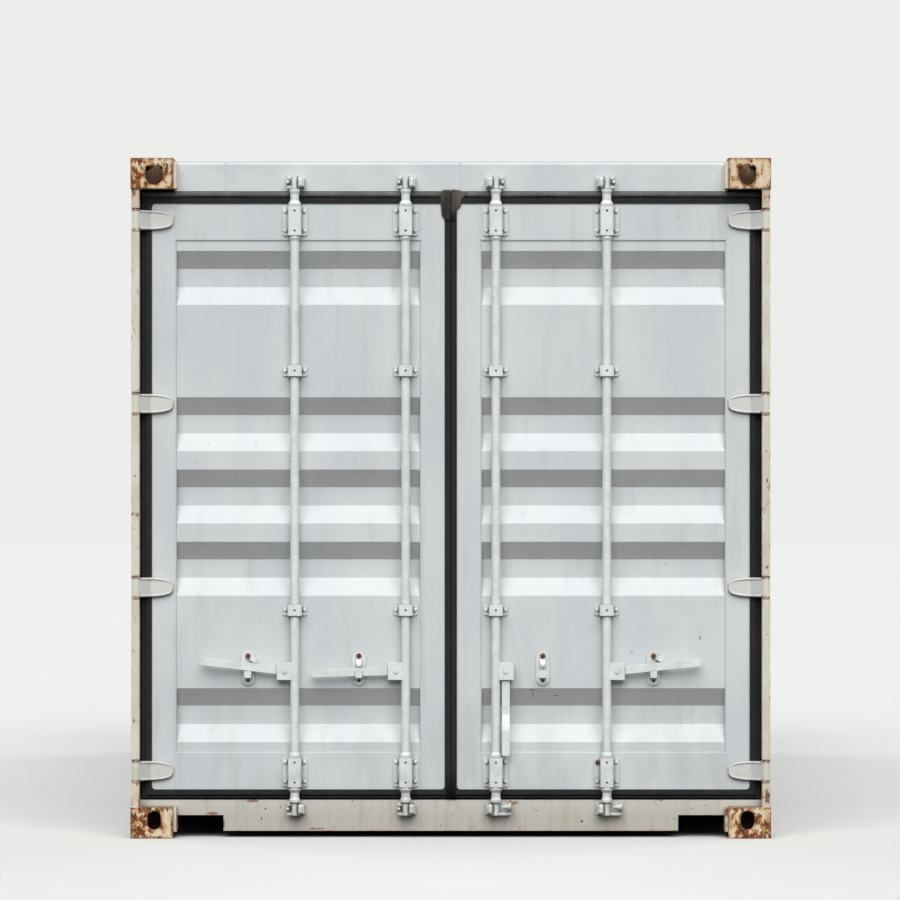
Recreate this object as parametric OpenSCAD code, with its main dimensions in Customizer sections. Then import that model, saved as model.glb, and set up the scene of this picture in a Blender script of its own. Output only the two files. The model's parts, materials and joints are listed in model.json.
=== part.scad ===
/* [Container] */
// Overall length from the door end to the front end
length = 6058; // [4500:1:6058]
// Overall width over the corner castings
width = 2438; // [2300:1:2438]
// Overall height over the corner castings
height = 2591; // [2400:1:2896]
// Plate thickness of the posts
post_plate = 6; // [4:0.5:8]
// Depth of the side rails, header and posts kept inside the side faces
side_inset = 3; // [2:0.5:5]

/* [Corner castings] */
// Length of a casting along the container
casting_l = 178; // [170:1:190]
// Width of a casting across the container
casting_w = 162; // [155:1:170]
// Height of a casting
casting_h = 118; // [112:1:125]
// Side walls of a casting
casting_wall = 15; // [10:1:18]
// Plate of a casting that holds the twistlock hole
casting_plate = 28; // [22:1:30]
// Inner closing plate of a casting
casting_back = 12; // [8:1:16]
// Length of a twistlock hole
twistlock_l = 124; // [120:1:128]
// Width of a twistlock hole
twistlock_w = 63.5; // [60:0.5:66]
// Twistlock hole centre, from the end face
hole_from_end = 102.5; // [100:0.5:105]
// Twistlock hole centre, from the side face
hole_from_side = 89.5; // [86:0.5:92]
// Width of the side holes in a lower casting
lower_hole_w = 51; // [44:1:56]
// Height of the side holes in a lower casting
lower_hole_h = 71; // [64:1:76]
// Width of the side holes in an upper casting
upper_hole_w = 65; // [58:1:68]
// Height of the side holes in an upper casting
upper_hole_h = 74; // [66:1:74]

/* [Door end frame] */
// Width of the door post seen from the door end
post_w = 30; // [28:1:34]
// Step from the castings' end face back to the post
post_step = 5; // [3:1:8]
// Step from the castings' end face back to the header and sill
beam_step = 72; // [66:1:80]
// Lowest edge of the header, down from the top
header_drop = 124; // [122:1:135]
// Plate thickness of the header and sill
beam_plate = 6; // [4:0.5:8]
// Outer radius of the header's folded edge
header_fold = 12; // [8:1:12]
// Underside of the door sill, above the ground
sill_bottom = 25; // [20:1:36]
// Top of the door sill, above the ground
sill_top = 143; // [142:1:160]
// Width of the recess in the sill beside a casting
recess_w = 177; // [140:1:190]
// Top of the recess in the sill, above the ground
recess_top = 85; // [80:1:100]
// Thickness of the upright plate between a casting and the beam
end_plate = 12; // [8:1:16]

/* [Door leaves] */
// Step from the castings' end face back to the door face
door_step = 68; // [64:1:72]
// Half the gap between the two leaves
leaf_half_gap = 18; // [14:1:22]
// Gap between a leaf and its post
leaf_side_gap = 40; // [36:1:44]
// Gap between the leaves and the header
leaf_top_gap = 42; // [36:1:46]
// Gap between the leaves and the sill
leaf_bottom_gap = 35; // [30:1:40]
// Width of an upright of the leaf's frame
stile_w = 95; // [85:1:105]
// Height of a cross rail of the leaf's frame
rail_h = 144; // [136:1:152]
// Corner radius of the leaf
leaf_corner = 14; // [6:1:18]
// Depth of the leaf's frame
leaf_d = 50; // [44:1:56]
// Wall of the leaf's frame
leaf_wall = 4; // [3:0.5:6]
// Step from the leaf's frame back to its panel
panel_step = 4; // [2:0.5:6]
// Depth of the panel's folds
fold_d = 36; // [28:1:40]
// Height of the sloping side of a fold
fold_slope = 68; // [50:1:72]
// Height of the flat bottom of a fold
fold_flat = 70; // [50:1:75]
// Flat band between two close folds
narrow_flat = 70; // [50:1:80]
// Flat band between a leaf's rail and the next fold
edge_flat = 41.5; // [30:0.5:60]
// Thickness of the sheet steel
sheet = 2; // [1.6:0.1:3]

/* [Door gasket] */
// How far the gasket stands over the leaf's face edge
gasket_lip = 5; // [3:0.5:8]
// Thickness of the gasket's front lip
gasket_lip_t = 4; // [2:0.5:4]
// Gap left between the gasket and the post, header and sill
gasket_gap = 7; // [5:0.5:10]
// Gap between the two gaskets
gasket_centre_gap = 6; // [5:0.5:10]

/* [Hinges] */
// Hinge pin axis, in from the side face
pin_in = 18; // [17.5:0.5:18.5]
// Hinge pin axis, in from the end face
pin_back = 24; // [22:0.5:26]
// Hinge pin radius
pin_r = 8.5; // [7:0.5:8.5]
// Radial play of the hinge pin
pin_play = 0.5; // [0.3:0.1:0.8]
// Hinge barrel radius
barrel_r = 16; // [14:0.5:17]
// Hinge barrel height
barrel_h = 86; // [78:1:92]
// Gap between the barrel and its lugs
barrel_gap = 2; // [1:0.5:3]
// Height of one hinge lug
lug_h = 38; // [30:1:44]
// Height of the blade beside the post
blade_h = 74; // [66:1:80]
// Height of the blade at its tip
blade_tip_h = 42; // [36:1:50]
// Length of the blade's straight part, from the pin
blade_straight = 72; // [62:1:84]
// Blade tip, in from the side face
blade_tip_in = 159; // [150:1:164]
// Thickness of the blade
blade_t = 12; // [10:0.5:14]
// Width of the bevel along the blade's edges
blade_bevel = 6; // [4:0.5:8]
// Height of the lowest hinge
hinge_low = 255; // [250:1:266]
// Height of the highest hinge, down from the top
hinge_high = 235; // [232:1:246]

/* [Lock rods] */
// Inner lock rod, out from the centre line
rod_inner_x = 172; // [165:1:180]
// Outer lock rod, out from the centre line
rod_outer_x = 595; // [585:1:605]
// Lock rod radius
rod_r = 17; // [15:0.5:18]
// Lock rod axis, out from the leaf's face
rod_stand = 28; // [27:0.5:30]
// Play between a rod and its brackets
rod_play = 1; // [0.5:0.1:1.5]
// Radius of the disc beside a cam
disc_r = 20.5; // [18.5:0.5:21]
// Radius of a collar beside a bracket
collar_r = 24; // [21:0.5:24]
// Height of a collar
collar_h = 9.5; // [8:0.5:12]
// Height of the cone between a collar and the rod
flare_h = 10; // [6:1:14]
// Width of the large bracket
bracket_w = 95; // [90:1:100]
// Height of the large bracket
bracket_h = 113; // [108:1:118]
// Corner radius of a bracket
bracket_corner = 9; // [4:1:12]
// Width of the raised part of a bracket
saddle_w = 51; // [48:1:54]
// Height of the middle guides
guide_h = 42; // [36:1:48]
// Width of the middle guides
guide_w = 92; // [86:1:98]
// Hole in the raised part, radius
grease_r = 4; // [3:0.5:5]
// Hole in the raised part, from the bracket's middle
grease_z = 38; // [32:1:42]
// Thickness of the bracket's flange
flange_t = 5; // [4:0.5:6]
// Upper guide, above the ground
guide_high = 1781; // [1740:1:1800]
// Lower guide, above the ground
guide_low = 868; // [840:1:900]
// Bolt offset from the rod, across the bracket
bolt_x = 35.5; // [34:0.5:37]
// Bolt offset from the bracket's middle
bolt_z = 37; // [34:1:42]
// Bolt head radius
bolt_r = 8; // [6:0.5:8.5]
// Bolt head height
bolt_h = 6; // [5:0.5:8]
// Radius of a bolt head's dome
bolt_dome = 10; // [9:0.5:14]

/* [Cams and keepers] */
// Height of a cam and its keeper
cam_h = 48; // [44:1:50]
// Radius of the cam's core
cam_core_r = 12; // [11:0.5:13]
// Reach of the cam's nose
nose_reach = 22; // [20:0.5:23]
// Gap between a cam's nose and its keeper
cam_gap = 5; // [3:0.5:5]
// Thickness of a cam's arms
arm_t = 11; // [9:0.5:12]
// Depth of a cam's arms
arm_w = 12; // [10:0.5:14]
// Front of a cam's arms, inward from the rod's axis
arm_front = -1; // [-2:0.5:0]
// Reach of the arms and of the keeper's nib
short_reach = 31; // [29:1:34]
// The same for the two lower cams of the right leaf
long_reach = 58; // [50:1:60]
// Radius of the rounded lip of a keeper
lip_r = 9.5; // [8:0.5:10]
// Height of the rounded lip of a keeper
lip_h = 38; // [34:1:42]
// Lip's middle, towards the viewer from the rod's axis
lip_front = 17; // [16.5:0.5:19]
// Thickness of the keeper's upright plates
keeper_web = 9; // [7:1:11]
// Thickness of the keeper's base
keeper_base = 5; // [4:0.5:6]
// Corner radius of the keeper's base
keeper_corner = 6; // [3:1:9]
// Gap between a cam and the disc on its rod
disc_gap = 2; // [1.5:0.5:4]
// Middle of the upper keepers, down from the top
keeper_high = 91; // [88:1:96]
// Middle of the lower keepers, above the ground
keeper_low = 110; // [108:1:116]

/* [Handles] */
// Handle pivot height above the ground
handle_z = 636; // [630:1:645]
// Handle pivot, out from its rod
handle_pivot = 38; // [36:0.5:42]
// Length of a handle from its pivot
handle_l = 322; // [300:1:323]
// Width of a handle
handle_w = 30; // [26:1:32]
// Thickness of a handle
handle_t = 10; // [8:0.5:11]
// How far the grip stands out from the handle's root
handle_joggle = 12; // [8:1:13]
// Height of the hub that holds a handle
hub_h = 67; // [60:1:70]
// Reach of the hub from its rod
hub_reach = 68; // [64:1:72]
// Thickness of one cheek of the hub
cheek_t = 7; // [5:0.5:8]
// Clearance between a handle and its cheeks
cheek_gap = 1; // [0.5:0.1:1.5]
// Radius of the handle's pivot pin
handle_pin_r = 6; // [5:0.5:7]
// Tilt of the four handles from level, upwards
handle_tilts = [6.9, -1.5, -90, 6.1];

/* [Handle catches] */
// Catch, out from its rod
catch_x = 179; // [172:1:184]
// Width of a catch
catch_w = 50; // [44:1:54]
// Height of a catch
catch_h = 131; // [124:1:136]
// Lowest point of a catch above the ground
catch_low = 580; // [576:1:590]
// Thickness of the catch's plates
catch_t = 5; // [4:0.5:6]
// Width of the catch's hook
hook_w = 26; // [22:1:30]
// Height of the hook's lip above its shelf
hook_lip = 20; // [16:1:20]
// Radius of the catch's rivet
rivet_r = 5; // [4:0.5:6]
// Length of the swinging cover from its rivet to its end
cover_l = 41.5; // [38:0.5:42]
// Width of the swinging cover
cover_w = 20; // [18:1:22]
// Angle of the four covers from hanging, towards the right
cover_turns = [58, 0, 0, 66];

/* [Walls and roof] */
// Depth of the side walls' folds
wall_d = 36; // [28:1:40]
// Outer flat of the side walls' folds
wall_outer = 72; // [60:1:80]
// Inner flat of the side walls' folds
wall_inner = 70; // [60:1:80]
// Slope of the side walls' folds
wall_slope = 68; // [50:1:72]
// Side wall's outer face, in from the side face
wall_in = 8; // [6:0.5:12]
// Depth of the front wall's folds
front_d = 46; // [36:1:50]
// Flat of the front wall's folds
front_flat = 107; // [90:1:110]
// Slope of the front wall's folds
front_slope = 18; // [14:1:40]
// Depth of the roof's pressings
roof_d = 20; // [14:1:22]
// Flat of the roof's pressings
roof_flat = 91; // [80:1:100]
// Slope of the roof's pressings
roof_slope = 13.5; // [12:0.5:24]
// Size of the square top rails
top_rail = 60; // [50:1:64]
// Wall of the square top rails
top_rail_wall = 4; // [3:0.5:5]
// Top of the rails, down from the castings' top
top_rail_drop = 12; // [10:1:14]
// Width of a front post
front_post_w = 60; // [50:1:66]

/* [Base] */
// Underside of the bottom rails above the ground
base_clear = 14; // [12:1:18]
// Top of the bottom rails and of the floor
floor_top = 172; // [170:1:176]
// Width of the bottom rails' flanges
flange_w = 48; // [44:1:50]
// Thickness of the bottom rails
rail_t = 4.5; // [4:0.5:6]
// Thickness of the floor boards
board_t = 28; // [24:1:30]
// Height of the cross members
cross_h = 122; // [116:1:126]
// Flange of the cross members
cross_w = 45; // [40:1:50]
// Spacing of the cross members
cross_pitch = 300; // [260:1:330]
// Distance between the middles of the two fork pockets
pocket_spread = 2050; // [1800:1:2100]
// Width of a fork pocket
pocket_w = 360; // [340:1:380]
// Plate thickness of a fork pocket
pocket_plate = 6; // [4:0.5:8]

/* [Hidden] */
$fn = 48;
tiny = 0.01;
weld_gap = 0.5;
half_w = width / 2;
half_l = length / 2;
in_x = half_w - casting_w;
in_y = half_l - casting_l;
jamb_x = half_w - side_inset - post_w;
header_low = height - header_drop;
header_top = height - top_rail_drop;
rail_low = header_top - top_rail;
leaf_x0 = leaf_half_gap;
leaf_x1 = jamb_x - leaf_side_gap;
leaf_z0 = sill_top + leaf_bottom_gap;
leaf_z1 = header_low - leaf_top_gap;
face_y = door_step - half_l;
panel_y = face_y + panel_step;
rod_y = face_y - rod_stand;
panel_z0 = leaf_z0 + rail_h;
panel_z1 = leaf_z1 - rail_h;
fold_h = 2 * fold_slope + fold_flat;
wide_flat = (panel_z1 - panel_z0 - 5 * fold_h - 2 * narrow_flat) / 2 - edge_flat;
fold_gaps = [wide_flat, narrow_flat, narrow_flat, wide_flat];
pin_x = half_w - pin_in;
pin_y = pin_back - half_l;
hinge_step = (height - hinge_high - hinge_low) / 3;
hinge_heights = [for (i = [0:3]) hinge_low + i * hinge_step];
bracket_zs = [leaf_z0 + rail_h / 2, leaf_z1 - rail_h / 2];
keeper_zs = [keeper_low, height - keeper_high];
keeper_face = beam_step - half_l - rod_y - keeper_base;
saddle_y = rod_stand + rod_r + rod_play + flange_t;
rivet_z = catch_low + catch_h - rivet_r - 12;
shelf_z = handle_z - handle_w / 2 - 5;
catch_back = rod_stand + panel_step;
cover_back = catch_back - catch_t - 0.3;
board_z = floor_top - board_t;
cross_z = board_z - cross_h;
pocket_high = board_z - pocket_plate;
pocket_low = cross_z + 4;
wall_len = 2 * in_y;
front_half = half_w - side_inset - front_post_w;
roof_pitch = 2 * roof_flat + 2 * roof_slope;
roof_x = half_w - side_inset - 7;

// Places its children on the left side when side is -1, and on the right when it is 1
module on_side(side) {
    if (side < 0) mirror([1, 0, 0]) children();
    else children();
}

// The same, for the door end when end is -1 and the front end when it is 1
module on_end(end) {
    if (end > 0) mirror([0, 1, 0]) children();
    else children();
}

// A box from its two corners
module block(low, high) {
    translate(low) cube(high - low);
}

// A flat rectangle with round corners
module rounded_2d(low, high, r) {
    size = high - low;
    translate(low + [r, 0]) square(size - [2 * r, 0]);
    translate(low + [0, r]) square(size - [0, 2 * r]);
    for (x = [low[0] + r, high[0] - r], z = [low[1] + r, high[1] - r]) translate([x, z]) circle(r = r);
}

// A plate in the door's plane with round corners, from depth y0 back to y1
module plate(low, high, r, y0, y1) {
    translate([0, y1, 0]) rotate([90, 0, 0]) linear_extrude(y1 - y0) rounded_2d(low, high, r);
}

// An upright pill
module pill(r, h) {
    cylinder(r = r, h = h - 2 * r, center = true);
    for (s = [-1, 1]) translate([0, 0, s * (h / 2 - r)]) sphere(r = r);
}

// A flat slot with round ends, long along Y
module slot_2d(l, w) {
    square([w, l - w], center = true);
    for (s = [-1, 1]) translate([0, s * (l - w) / 2]) circle(d = w);
}

// The upper castings' hole: flat at the top, round at the bottom
module shield_2d(w, h) {
    corner = w / 6;
    translate([0, w / 2 - h / 2]) circle(d = w);
    translate([-w / 2, w / 2 - h / 2]) square([w, h - w / 2 - corner]);
    translate([-w / 2 + corner, 0]) square([w - 2 * corner, h / 2]);
    for (s = [-1, 1]) translate([s * (w / 2 - corner), h / 2 - corner]) circle(r = corner);
}

// One casting in the corner at low X, low Y, low Z, with its hole faces outward
module casting(upper) {
    hole_z = upper ? casting_plate + upper_hole_h / 2 + 1 : casting_plate + 6 + lower_hole_h / 2;
    difference() {
        cube([casting_w, casting_l, casting_h]);
        block(
            [casting_wall, casting_wall, casting_plate],
            [casting_w - casting_wall, casting_l - casting_wall, casting_h - casting_back]
        );
        translate([hole_from_side, hole_from_end, -1])
            linear_extrude(casting_plate + 2) slot_2d(twistlock_l, twistlock_w);
        translate([hole_from_side, casting_wall + 1, hole_z])
            rotate([90, 0, 0]) linear_extrude(casting_wall + 2) casting_hole_2d(upper);
        translate([-1, hole_from_end, hole_z])
            rotate([90, 0, 90]) linear_extrude(casting_wall + 2) casting_hole_2d(upper);
    }
}

module casting_hole_2d(upper) {
    if (upper) mirror([0, 1]) shield_2d(upper_hole_w, upper_hole_h);
    else slot_2d(lower_hole_h, lower_hole_w);
}

module end_castings(end) {
    color([0.80, 0.62, 0.42])
    on_end(end)
    for (side = [-1, 1]) on_side(side) {
        translate([half_w, -half_l, 0]) mirror([1, 0, 0]) casting(false);
        translate([half_w, -half_l, height]) mirror([1, 0, 0]) mirror([0, 0, 1]) casting(true);
    }
}

// The space that the castings take, cut out of what meets them
module casting_boxes() {
    for (x = [-1, 1], y = [-1, 1], z = [0, 1])
        translate([x * (half_w - casting_w / 2), y * (half_l - casting_l / 2), z * (height - casting_h)])
            translate([-casting_w / 2, -casting_l / 2, 0]) cube([casting_w, casting_l, casting_h]);
}

// Hollow upright from the casting below to the one above
module post_tube(w, step) {
    x1 = half_w - side_inset;
    difference() {
        block([x1 - w, step - half_l, casting_h], [x1, -in_y, height - casting_h]);
        block(
            [x1 - w + post_plate, step - half_l + post_plate, casting_h - 1],
            [x1 - post_plate, -in_y - post_plate, height - casting_h + 1]
        );
    }
}

// The room that a hinge barrel and blade need in the post
module hinge_window(z) {
    play = barrel_h / 2 + barrel_gap;
    block([jamb_x - 1, -half_l, z - play], [half_w + 1, pin_y + 46, z + play]);
}

module door_posts() {
    color([0.86, 0.82, 0.74])
    for (side = [-1, 1]) on_side(side)
        difference() {
            post_tube(post_w, post_step);
            for (z = hinge_heights) hinge_window(z);
        }
}

module front_posts() {
    color([0.82, 0.84, 0.85])
    for (side = [-1, 1]) on_side(side) on_end(1) post_tube(front_post_w, side_inset);
}

// Two lugs inside the post and the pin between them
module hinge_pin(z) {
    lug_x0 = jamb_x + post_plate;
    lug_x1 = half_w - side_inset - post_plate;
    lug_y0 = post_step + post_plate - half_l;
    for (s = [-1, 1]) translate([0, 0, z + s * (barrel_h / 2 + barrel_gap + lug_h / 2)])
        block([lug_x0, lug_y0, -lug_h / 2], [lug_x1, lug_y0 + 2 * (pin_y - lug_y0), lug_h / 2]);
    translate([pin_x, pin_y, z]) cylinder(r = pin_r, h = barrel_h + 2 * barrel_gap + lug_h, center = true);
}

module hinge_pins() {
    color([0.72, 0.60, 0.48])
    for (side = [-1, 1], z = hinge_heights) on_side(side) hinge_pin(z);
}

module door_header() {
    y0 = beam_step - half_l;
    color([0.82, 0.84, 0.83])
    union() {
        difference() {
            block([-in_x, y0, header_low], [in_x, -in_y, header_top]);
            block(
                [-in_x + end_plate, y0 + beam_plate, header_low + beam_plate],
                [in_x - end_plate, -in_y + 1, header_top - beam_plate]
            );
            // the plate's folded edge
            difference() {
                block(
                    [-in_x - 1, y0 - 1, header_top - header_fold],
                    [in_x + 1, y0 + header_fold, header_top + 1]
                );
                translate([0, y0 + header_fold, header_top - header_fold]) rotate([0, 90, 0])
                    cylinder(r = header_fold, h = 2 * in_x + 4, center = true);
            }
        }
        for (side = [-1, 1]) on_side(side)
            block([in_x - end_plate, post_step + 12 - half_l, header_low + 9], [in_x, y0 + 1, header_top]);
    }
}

module door_sill() {
    y0 = beam_step - half_l;
    recess_out = in_x - end_plate;
    recess_in = recess_out - recess_w;
    color([0.78, 0.76, 0.72])
    difference() {
        union() {
            block([-jamb_x, y0, casting_h], [jamb_x, -in_y, sill_top]);
            block([-in_x, y0, sill_bottom], [in_x, -in_y, casting_h + tiny]);
        }
        // the channel behind the front plate
        block(
            [-recess_in + beam_plate, y0 + beam_plate, sill_bottom + beam_plate],
            [recess_in - beam_plate, -in_y + 1, sill_top - beam_plate]
        );
        // the recesses beside the castings
        for (side = [-1, 1]) on_side(side) {
            block([recess_in, y0 - 1, sill_bottom - 1], [recess_out, -in_y + 1, recess_top]);
            block(
                [recess_in, y0 + beam_plate, recess_top + beam_plate],
                [jamb_x + 1, -in_y + 1, sill_top - beam_plate]
            );
        }
    }
}

// The upright plates that close the sill beside the castings
module sill_end_plates() {
    color([0.85, 0.78, 0.62])
    for (side = [-1, 1]) on_side(side)
        block(
            [in_x - end_plate, post_step + 12 - half_l, sill_bottom],
            [in_x, beam_step - half_l, casting_h]
        );
}

// A keeper about its rod's axis: base, hook in front of the cam's nose at low X, nib between the cam's arms
module keeper(long) {
    reach = long ? long_reach : short_reach;
    nib_r = long ? 14 : 7;
    nib_z = long ? 8 : 0;
    nib_y = -8;
    tip_r = long ? 4 : 5;
    tip_x = cam_core_r + 8 + tip_r;
    hook_x = -nose_reach - cam_gap;
    back = keeper_face + tiny;
    plate(
        [hook_x - keeper_web - 6, -cam_h / 2], [reach + 2, cam_h / 2],
        keeper_corner, keeper_face, keeper_face + keeper_base
    );
    // the hook: an upright plate and a rounded lip
    block([hook_x - keeper_web, -lip_front, -lip_h / 2 + 3], [hook_x, back, lip_h / 2 - 3]);
    translate([hook_x + lip_r / 2, -lip_front, 0]) pill(lip_r, lip_h);
    // the nib: an upright plate and a blunt point towards the cam
    block([reach - keeper_web + 1, nib_y, nib_z - nib_r], [reach, back, nib_z + nib_r]);
    translate([reach, nib_y, nib_z]) rotate([0, -90, 0]) cylinder(r1 = nib_r, r2 = tip_r, h = reach - tip_x);
    translate([tip_x, nib_y, nib_z]) sphere(r = tip_r);
}

module cam_keepers() {
    color([0.88, 0.88, 0.85])
    for (side = [-1, 1], x = [rod_inner_x, rod_outer_x], z = keeper_zs)
        on_side(side) translate([x, rod_y, z]) keeper(is_long(side, z));
}

// The lower cams of the right leaf have one long arm instead of two short ones
function is_long(side, z) = side > 0 && z < height / 2;

module front_top_rail() {
    y1 = half_l - side_inset - 1;
    color([0.82, 0.84, 0.85])
    difference() {
        block([-in_x, y1 - top_rail, rail_low], [in_x, y1, header_top]);
        block(
            [-in_x - 1, y1 - top_rail + top_rail_wall, rail_low + top_rail_wall],
            [in_x + 1, y1 - top_rail_wall, header_top - top_rail_wall]
        );
    }
}

// The front bottom rail between the castings, and its short pieces on top of them
module front_bottom_rail() {
    y1 = half_l - side_inset - 1;
    color([0.80, 0.81, 0.80]) {
        difference() {
            block([-in_x, y1 - top_rail, base_clear], [in_x, y1, floor_top]);
            block(
                [-in_x - 1, y1 - top_rail + rail_t, base_clear + rail_t],
                [in_x + 1, y1 - rail_t, floor_top - rail_t]
            );
        }
        for (side = [-1, 1]) on_side(side)
            difference() {
                block([in_x + weld_gap, y1 - top_rail, casting_h], [front_half, y1, floor_top]);
                block(
                    [in_x - 1, y1 - top_rail + rail_t, casting_h - 1],
                    [front_half + 1, y1 - rail_t, floor_top - rail_t]
                );
            }
    }
}

function reversed(line) = [for (i = [len(line) - 1:-1:0]) line[i]];

// The folded line of a sheet: out flat, slope in, in flat, slope out, n times
function folds(n, start, out_flat, slope, in_flat, depth) = [
    for (i = [0:n - 1], step = [0:3])
        let (at = start + i * (out_flat + in_flat + 2 * slope))
        [
            [at + out_flat, 0],
            [at + out_flat + slope, depth],
            [at + out_flat + slope + in_flat, depth],
            [at + out_flat + 2 * slope + in_flat, 0]
        ][step]
];

// A sheet of even thickness along a folded line
module folded_sheet_2d(line) {
    polygon(concat(line, reversed([for (p = line) [p[0], p[1] + sheet]])));
}

// A wall of folds centred on 0, with flat margins that fill its length
module fold_wall_2d(total, out_flat, slope, in_flat, depth) {
    pitch = out_flat + in_flat + 2 * slope;
    n = floor((total - out_flat) / pitch);
    start = (total - n * pitch - out_flat) / 2;
    translate([-total / 2, 0])
        folded_sheet_2d(concat([[0, 0]], folds(n, start, out_flat, slope, in_flat, depth), [[total, 0]]));
}

module front_wall() {
    color([0.81, 0.83, 0.85])
    difference() {
        translate([0, half_l - side_inset - 3, floor_top]) mirror([0, 1, 0])
            linear_extrude(rail_low - floor_top)
                fold_wall_2d(2 * front_half, front_flat, front_slope, front_flat, front_d);
        casting_boxes();
    }
}

module side_wall(side) {
    color([0.81, 0.83, 0.85])
    on_side(side) translate([half_w - wall_in, 0, floor_top]) rotate([0, 0, 90])
        linear_extrude(rail_low - floor_top)
            fold_wall_2d(wall_len, wall_outer, wall_slope, wall_inner, wall_d);
}

module top_side_rails() {
    x1 = half_w - side_inset - 1;
    color([0.82, 0.84, 0.85])
    for (side = [-1, 1]) on_side(side)
        difference() {
            block([x1 - top_rail, -in_y, rail_low], [x1, in_y, header_top]);
            block(
                [x1 - top_rail + top_rail_wall, -in_y - 1, rail_low + top_rail_wall],
                [x1 - top_rail_wall, in_y + 1, header_top - top_rail_wall]
            );
        }
}

module bottom_side_rails() {
    x1 = half_w - 2 * side_inset;
    color([0.80, 0.81, 0.80])
    for (side = [-1, 1]) on_side(side)
        difference() {
            block([x1 - flange_w, -in_y, base_clear], [x1, in_y, floor_top]);
            block(
                [x1 - flange_w - 1, -in_y - 1, base_clear + rail_t],
                [x1 - rail_t, in_y + 1, floor_top - rail_t]
            );
            for (end = [-1, 1])
                block(
                    [x1 - rail_t - 1, end * pocket_spread / 2 - pocket_w / 2, pocket_low],
                    [x1 + 1, end * pocket_spread / 2 + pocket_w / 2, pocket_high]
                );
        }
}

// The troughs pressed into the roof, as solids below the level z = 0
module roof_troughs(drop) {
    n = floor((wall_len - 2 * roof_flat) / roof_pitch);
    start = -(n * roof_pitch - roof_flat) / 2;
    trough_x = half_w - side_inset - top_rail - 30;
    side_slope = 40;
    translate([0, 0, -drop]) intersection() {
        rotate([90, 0, 90]) linear_extrude(2 * trough_x, center = true)
            for (i = [0:n - 1]) translate([start + i * roof_pitch, 0])
                polygon([
                    [0, 0], [roof_slope, -roof_d], [roof_slope + roof_flat, -roof_d],
                    [2 * roof_slope + roof_flat, 0]
                ]);
        rotate([90, 0, 0]) linear_extrude(length, center = true)
            polygon([
                [-trough_x, 0], [side_slope - trough_x, -roof_d], [trough_x - side_slope, -roof_d],
                [trough_x, 0]
            ]);
    }
}

module roof_sheet() {
    color([0.82, 0.84, 0.85])
    difference() {
        translate([0, 0, header_top]) difference() {
            union() {
                block([-roof_x, beam_step + 8 - half_l, 0], [roof_x, half_l - side_inset - 5, sheet]);
                roof_troughs(0);
            }
            translate([0, 0, sheet]) roof_troughs(0);
        }
        casting_boxes();
    }
}

// A channel across the base, open towards high Y
module cross_member(y) {
    web_x = half_w - 2 * side_inset - rail_t;
    difference() {
        block([-web_x, y, cross_z], [web_x, y + cross_w, board_z]);
        block([-web_x - 1, y + rail_t, cross_z + rail_t], [web_x + 1, y + cross_w + 1, board_z - rail_t]);
    }
}

module cross_members() {
    n = floor((wall_len / 2 - cross_w) / cross_pitch);
    color([0.45, 0.44, 0.42])
    for (i = [-n:n - 1])
        let (y = (i + 0.5) * cross_pitch - cross_w / 2)
        if (abs(abs(y + cross_w / 2) - pocket_spread / 2) > pocket_w / 2 + cross_w) cross_member(y);
}

module fork_pocket() {
    web_x = half_w - 2 * side_inset - rail_t;
    half = pocket_w / 2;
    difference() {
        block([-web_x, -half - pocket_plate, cross_z - 2], [web_x, half + pocket_plate, board_z]);
        block([-web_x - 1, -half, pocket_low], [web_x + 1, half, pocket_high]);
        block([-web_x + web_x / 3, -half, cross_z - 3], [web_x - web_x / 3, half, pocket_high]);
    }
}

module fork_pockets() {
    color([0.45, 0.44, 0.42])
    for (end = [-1, 1]) translate([0, end * pocket_spread / 2, 0]) fork_pocket();
}

module floor_boards() {
    board_x = half_w - 2 * side_inset - flange_w - 2;
    y1 = half_l - side_inset - 1 - top_rail - 1;
    color([0.55, 0.42, 0.28])
    difference() {
        block([-board_x, -in_y + 1, board_z], [board_x, y1, floor_top]);
        for (side = [-1, 1]) on_side(side)
            block([front_half - 1, in_y - 1, board_z - 1], [half_w, half_l, floor_top + 1]);
    }
}

// The leaf's frame: hollow uprights and cross rails open at the back
module door_frame(side) {
    color([0.82, 0.84, 0.85])
    on_side(side) difference() {
        plate([leaf_x0, leaf_z0], [leaf_x1, leaf_z1], leaf_corner, face_y, face_y + leaf_d);
        block([leaf_x0 + stile_w, face_y - 1, panel_z0], [leaf_x1 - stile_w, face_y + leaf_d + 1, panel_z1]);
        for (x = [leaf_x0 + leaf_wall, leaf_x1 - stile_w + leaf_wall])
            block(
                [x, face_y + leaf_wall, leaf_z0 - 1],
                [x + stile_w - 2 * leaf_wall, face_y + leaf_d - leaf_wall, leaf_z1 + 1]
            );
        for (z = [leaf_z0 + leaf_wall, panel_z1 + leaf_wall])
            block(
                [leaf_x0 + stile_w, face_y + leaf_wall, z],
                [leaf_x1 - stile_w, face_y + leaf_d + 1, z + rail_h - 2 * leaf_wall]
            );
    }
}

// Where each fold of the door panel starts, upwards from the panel's foot
function fold_start(i) = i == 0
    ? edge_flat
    : fold_start(i - 1) + fold_h + fold_gaps[i - 1];

module door_panel(side) {
    line = concat(
        [[0, 0]],
        [
            for (i = [0:4], step = [0:3])
                [
                    [fold_start(i), 0],
                    [fold_start(i) + fold_slope, fold_d],
                    [fold_start(i) + fold_slope + fold_flat, fold_d],
                    [fold_start(i) + fold_h, 0]
                ][step]
        ],
        [[panel_z1 - panel_z0, 0]]
    );
    color([0.81, 0.83, 0.85])
    on_side(side)
        translate([leaf_x0 + stile_w, panel_y, panel_z0])
            multmatrix([[0, 0, 1, 0], [0, 1, 0, 0], [1, 0, 0, 0]])
            linear_extrude(leaf_x1 - leaf_x0 - 2 * stile_w) folded_sheet_2d(line);
}

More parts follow.
